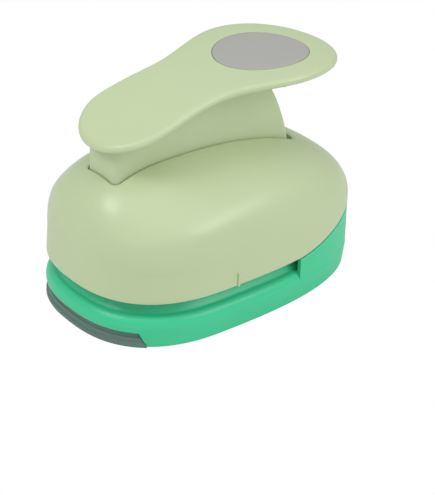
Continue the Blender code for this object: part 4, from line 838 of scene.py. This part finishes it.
def skirt_rings(lever, thin, bottom, steps=24):
    """Rings up the skirt, whose back wall follows the arc about the pivot."""
    rings = []
    for i in range(steps + 1):
        height = bottom + (lever.arch_top - bottom) * i / steps
        plan = rounded_rectangle(lever.skirt_front + thin, skirt_back(lever, height, thin),
                                 lever.skirt_half - thin, lever.skirt_corner - thin / 2)
        rings.append([(x, y, height) for x, y in plan])
    return rings


def above_paddle(body, lever, offset, steps=60):
    """A tool that fills the space above the paddle's arched middle, raised by an offset."""
    left, right = ends(body)
    line = [left + (right - left) * i / steps for i in range(steps + 1)]
    points = [(x, paddle_height(lever, x) + offset) for x in line]
    return bar(points + [(right, FAR), (left, FAR)])


def nose_outline(base, lever, steps=24):
    """The press nose and the web that carries it up to the paddle, in side view."""
    x, radius, half = base.die_x, lever.nose_radius, lever.rib / 2
    middle = lever.pivot_height + lever.nose_lift
    turns = [pi * (1 + i / steps) for i in range(steps + 1)]
    nose = [(x + radius * cos(turn), middle + radius * sin(turn)) for turn in turns]
    shoulder = lever.skirt_edge + radius * 2
    top = paddle_height(lever, x)
    return nose + [(x + radius, shoulder), (x + half, shoulder + radius), (x + half, top),
                   (x - half, top), (x - half, shoulder + radius), (x - radius, shoulder)]


def make_lever(body, base, lever, stuff):
    """The lever: arched paddle, skirt, stiffening ribs, press nose and the barrel for the pin."""
    half = lever.thickness / 2
    outline = paddle_outline(lever)
    thing = pillow(lever, outline, round_edge(lever.edge, half), "lever_moulding", stuff)
    recess = [(lever.lip, -half - OVERRUN), (lever.lip, half - lever.plate)]
    cut(thing, pillow(lever, outline, recess))
    skirt = loft(skirt_rings(lever, 0, lever.skirt_foot))
    room = loft(skirt_rings(lever, lever.skirt_wall, lever.skirt_foot - OVERRUN))
    cut(room, above_paddle(body, lever, half - lever.plate))
    cut(skirt, above_paddle(body, lever, half - lever.plate / 2))
    cut(skirt, room)
    cut(skirt, bar([(lever.cheek_x, 0), (lever.cheek_x, lever.skirt_edge - lever.cheek_run),
                    (lever.cheek_x + lever.cheek_run, lever.skirt_edge), (FAR, lever.skirt_edge), (FAR, 0)]))
    join(thing, skirt)
    inner = lever.skirt_half - lever.skirt_wall / 2
    x = lever.front_x - lever.front_length + lever.rib_pitch
    while x < lever.pad_x + lever.pad_length - lever.lip:
        plate = paddle_height(lever, x)
        near = inner if x < skirt_back(lever, plate) else 0
        reach = paddle_half(lever, x) - lever.lip / 2
        for side in SIDES:
            rib = strip(x, lever.rib, *sorted((side * near, side * reach)))
            join(thing, prism(rib, plate - half, plate + half - lever.plate / 2))
        x += lever.rib_pitch
    join(thing, bar(nose_outline(base, lever), inner))
    middle = (base.die_x + skirt_back(lever, lever.pivot_height)) / 2
    rib = strip(middle, lever.rib, lever.skirt_edge + OVERRUN, paddle_height(lever, middle))
    join(thing, bar(rib, inner))
    pivot = lever.pivot_x, lever.pivot_height
    join(thing, bar(circle(*pivot, lever.barrel, PIN_SIDES), inner))
    cut(thing, bar(circle(*pivot, lever.bore, PIN_SIDES)))
    room = oval(lever.badge_x, lever.badge_long + PLAY, lever.badge_half + PLAY)
    pocket = [(0, half - lever.badge_depth - PLAY), (0, half - BEVEL_DEPTH),
              (-BEVEL, half + BEVEL_REACH), (-BEVEL, half + OVERRUN)]
    cut(thing, pillow(lever, room, pocket))
    return finish(thing)


def make_badge(lever, stuff):
    """The plain oval disc that lies in a shallow pocket of the pad."""
    high = lever.thickness / 2
    profile = [(0, high - lever.badge_depth), (0, high - BEVEL_DEPTH), (BEVEL_BULGE, high - BEVEL_BULGE),
               (BEVEL, high)]
    outline = oval(lever.badge_x, lever.badge_long, lever.badge_half)
    return pillow(lever, outline, profile, "badge_disc", stuff)


def settings(context):
    """The sizes of the body, the base and the lever, and the colours."""
    scene = context.scene
    return scene.punch_body, scene.punch_base, scene.punch_lever, scene.punch_finish


def dress(piece, body, node):
    """Let a piece ride a body and take the place of one of the frame's nodes."""
    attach(piece, body)
    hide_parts(node)


class PUNCH_OT_shell(Operator):
    """Build the domed shell"""

    bl_idname = "punch.shell"
    bl_label = "Shell"

    def execute(self, context):
        body, base, lever, shades = settings(context)
        mint = plastic("mint_plastic_look", shades.mint, roughness=0.3, relief=0.06)
        dress(make_shell(body, base, lever, mint), "body", "top_shell")
        return {"FINISHED"}


class PUNCH_OT_base(Operator):
    """Build the base"""

    bl_idname = "punch.base"
    bl_label = "Base"

    def execute(self, context):
        body, base, _, shades = settings(context)
        teal = plastic("teal_plastic_look", shades.teal, roughness=0.34, relief=0.045)
        dress(make_base(body, base, teal), "body", "base")
        return {"FINISHED"}


class PUNCH_OT_cover(Operator):
    """Build the bottom cover with its stepped band"""

    bl_idname = "punch.cover"
    bl_label = "Bottom cover"

    def execute(self, context):
        body, base, _, shades = settings(context)
        smoke = plastic("smoke_plastic_look", shades.smoke, roughness=0.3, relief=0.045)
        dress(make_cover(body, base, smoke), "body", "bottom_cover")
        return {"FINISHED"}


class PUNCH_OT_lever(Operator):
    """Build the lever with its paddle and skirt"""

    bl_idname = "punch.lever"
    bl_label = "Lever"

    def execute(self, context):
        body, base, lever, shades = settings(context)
        mint = plastic("lever_plastic_look", shades.mint, roughness=0.32, relief=0.06)
        dress(make_lever(body, base, lever, mint), "lever", "handle_lever")
        return {"FINISHED"}


class PUNCH_OT_badge(Operator):
    """Build the oval disc on the pad"""

    bl_idname = "punch.badge"
    bl_label = "Badge"

    def execute(self, context):
        _, _, lever, shades = settings(context)
        grey = plastic("badge_look", shades.badge, roughness=0.5, relief=0.09)
        dress(make_badge(lever, grey), "lever", "handle_badge")
        return {"FINISHED"}


class PUNCH_OT_works(Operator):
    """Finish the pieces of the works that keep the frame's shapes"""

    bl_idname = "punch.works"
    bl_label = "Works"

    def execute(self, context):
        shades = settings(context)[-1]
        looks = {
            "steel": metal("steel_look", shades.steel, roughness=0.3, stretch=(1, 12, 1)),
            "zinc": metal("zinc_look", shades.zinc, roughness=0.36, stretch=(3, 3, 3)),
            "spring_steel": metal("spring_look", shades.spring, roughness=0.28, stretch=(1, 1, 8)),
            "block_plastic": plastic("block_look", shades.block, roughness=0.42, relief=0.075),
            "rubber": plastic("rubber_look", shades.rubber, roughness=0.8, relief=0.18),
        }
        for entry in frame["record"]["subparts"]:
            look = looks.get(entry["material_slot"])
            if look is not None:
                materials = frame["nodes"][entry["node"]].data.materials
                materials.clear()
                materials.append(look)
        return {"FINISHED"}


class PUNCH_OT_stage(Operator):
    """Set the floor, the lights and the camera"""

    bl_idname = "punch.stage"
    bl_label = "Stage"

    def execute(self, context):
        scene = context.scene
        view = scene.punch_view
        make_floor(scene.punch_finish.floor)
        make_sky(scene, view.sky)
        heading, pitch, roll = view.heading, view.pitch, view.roll
        right = Vector((cos(heading), -sin(heading), 0))
        ahead = Vector((sin(heading), cos(heading), 0))
        back = Vector((0, 0, sin(pitch))) - ahead * cos(pitch)
        up = back.cross(right)
        across = right * cos(roll) + up * sin(roll)
        above = up * cos(roll) - right * sin(roll)
        target = Vector((view.target_x, view.target_y, 0))
        lens = bpy.data.cameras.new("view")
        lens.sensor_fit = "HORIZONTAL"
        lens.sensor_width = 36
        lens.lens = view.lens
        lens.clip_start = 0.01
        camera = bpy.data.objects.new("view", lens)
        spin = Matrix((across, above, back)).transposed().to_4x4()
        camera.matrix_world = Matrix.Translation(target + back * view.distance) @ spin
        scene.collection.objects.link(camera)
        scene.camera = camera
        for name, (rightward, backward, forward, upward), distance, size in LAMPS:
            direction = right * rightward + back * backward + ahead * forward + Vector((0, 0, upward))
            lamp = bpy.data.lights.new(name, "AREA")
            lamp.shape = "DISK"
            lamp.size = size
            lamp.energy = getattr(view, name)
            light = bpy.data.objects.new(name, lamp)
            light.location = Vector((0, 0, LAMP_TARGET)) + direction.normalized() * distance
            light.rotation_euler = direction.to_track_quat("Z", "Y").to_euler()
            scene.collection.objects.link(light)
        scene.view_settings.view_transform = "Standard"
        return {"FINISHED"}


def seen_instead(tree, lit, seen, out):
    """Let the camera see one shader where all other light meets another."""
    path = add(tree, "LightPath")
    mix = add(tree, "MixShader")
    tree.links.new(path.outputs["Is Camera Ray"], mix.inputs["Fac"])
    tree.links.new(lit, mix.inputs[1])
    tree.links.new(seen, mix.inputs[2])
    tree.links.new(mix.outputs["Shader"], out.inputs["Surface"])


def make_floor(shade):
    """A round pale floor that the camera sees as plain white."""
    shape = bmesh.new()
    bmesh.ops.create_circle(shape, cap_ends=True, segments=64, radius=FLOOR_RADIUS)
    stuff, tree, shader = tree_of("floor_look")
    shader.inputs["Base Color"].default_value = (*shade, 1)
    shader.inputs["Roughness"].default_value = 0.7
    glow = add(tree, "Emission")
    seen_instead(tree, shader.outputs["BSDF"], glow.outputs["Emission"], tree.nodes["Material Output"])
    floor = from_bmesh("floor", shape, stuff)
    floor.location.z = -FLOOR_DROP


def make_sky(scene, strength):
    """Even light all round, which the camera sees as white."""
    white = (1, 1, 1, 1)
    world = bpy.data.worlds.new("studio")
    world.use_nodes = True
    tree = world.node_tree
    back = tree.nodes["Background"]
    back.inputs["Color"].default_value = white
    back.inputs["Strength"].default_value = strength
    seen = add(tree, "Background", {"Color": white})
    seen_instead(tree, back.outputs["Background"], seen.outputs["Background"], tree.nodes["World Output"])
    scene.world = world


PIECES = (PUNCH_OT_shell, PUNCH_OT_base, PUNCH_OT_cover, PUNCH_OT_lever, PUNCH_OT_badge, PUNCH_OT_works,
          PUNCH_OT_stage)


class PUNCH_PT_panel(Panel):
    """Lists the pieces of the craft punch"""

    bl_idname = "PUNCH_PT_panel"
    bl_label = "Craft punch"
    bl_space_type = "VIEW_3D"
    bl_region_type = "UI"
    bl_category = "Craft punch"

    def draw(self, context):
        for piece in PIECES:
            self.layout.operator(piece.bl_idname)


GROUPS = {"punch_body": PunchBody, "punch_base": PunchBase, "punch_lever": PunchLever,
          "punch_finish": PunchFinish, "punch_view": PunchView}


def register():
    """Make the property groups, the operators and the panel known."""
    for name, group in GROUPS.items():
        bpy.utils.register_class(group)
        setattr(bpy.types.Scene, name, PointerProperty(type=group))
    for piece in (*PIECES, PUNCH_PT_panel):
        bpy.utils.register_class(piece)


def unregister():
    """Take them away again."""
    for piece in (PUNCH_PT_panel, *reversed(PIECES)):
        bpy.utils.unregister_class(piece)
    for name, group in reversed(GROUPS.items()):
        delattr(bpy.types.Scene, name)
        bpy.utils.unregister_class(group)


def main():
    """Build every piece in order."""
    register()
    bpy.ops.punch.shell()
    bpy.ops.punch.base()
    bpy.ops.punch.cover()
    bpy.ops.punch.lever()
    bpy.ops.punch.badge()
    bpy.ops.punch.works()
    bpy.ops.punch.stage()
    bpy.context.view_layer.update()


if __name__ == "__main__":
    main()
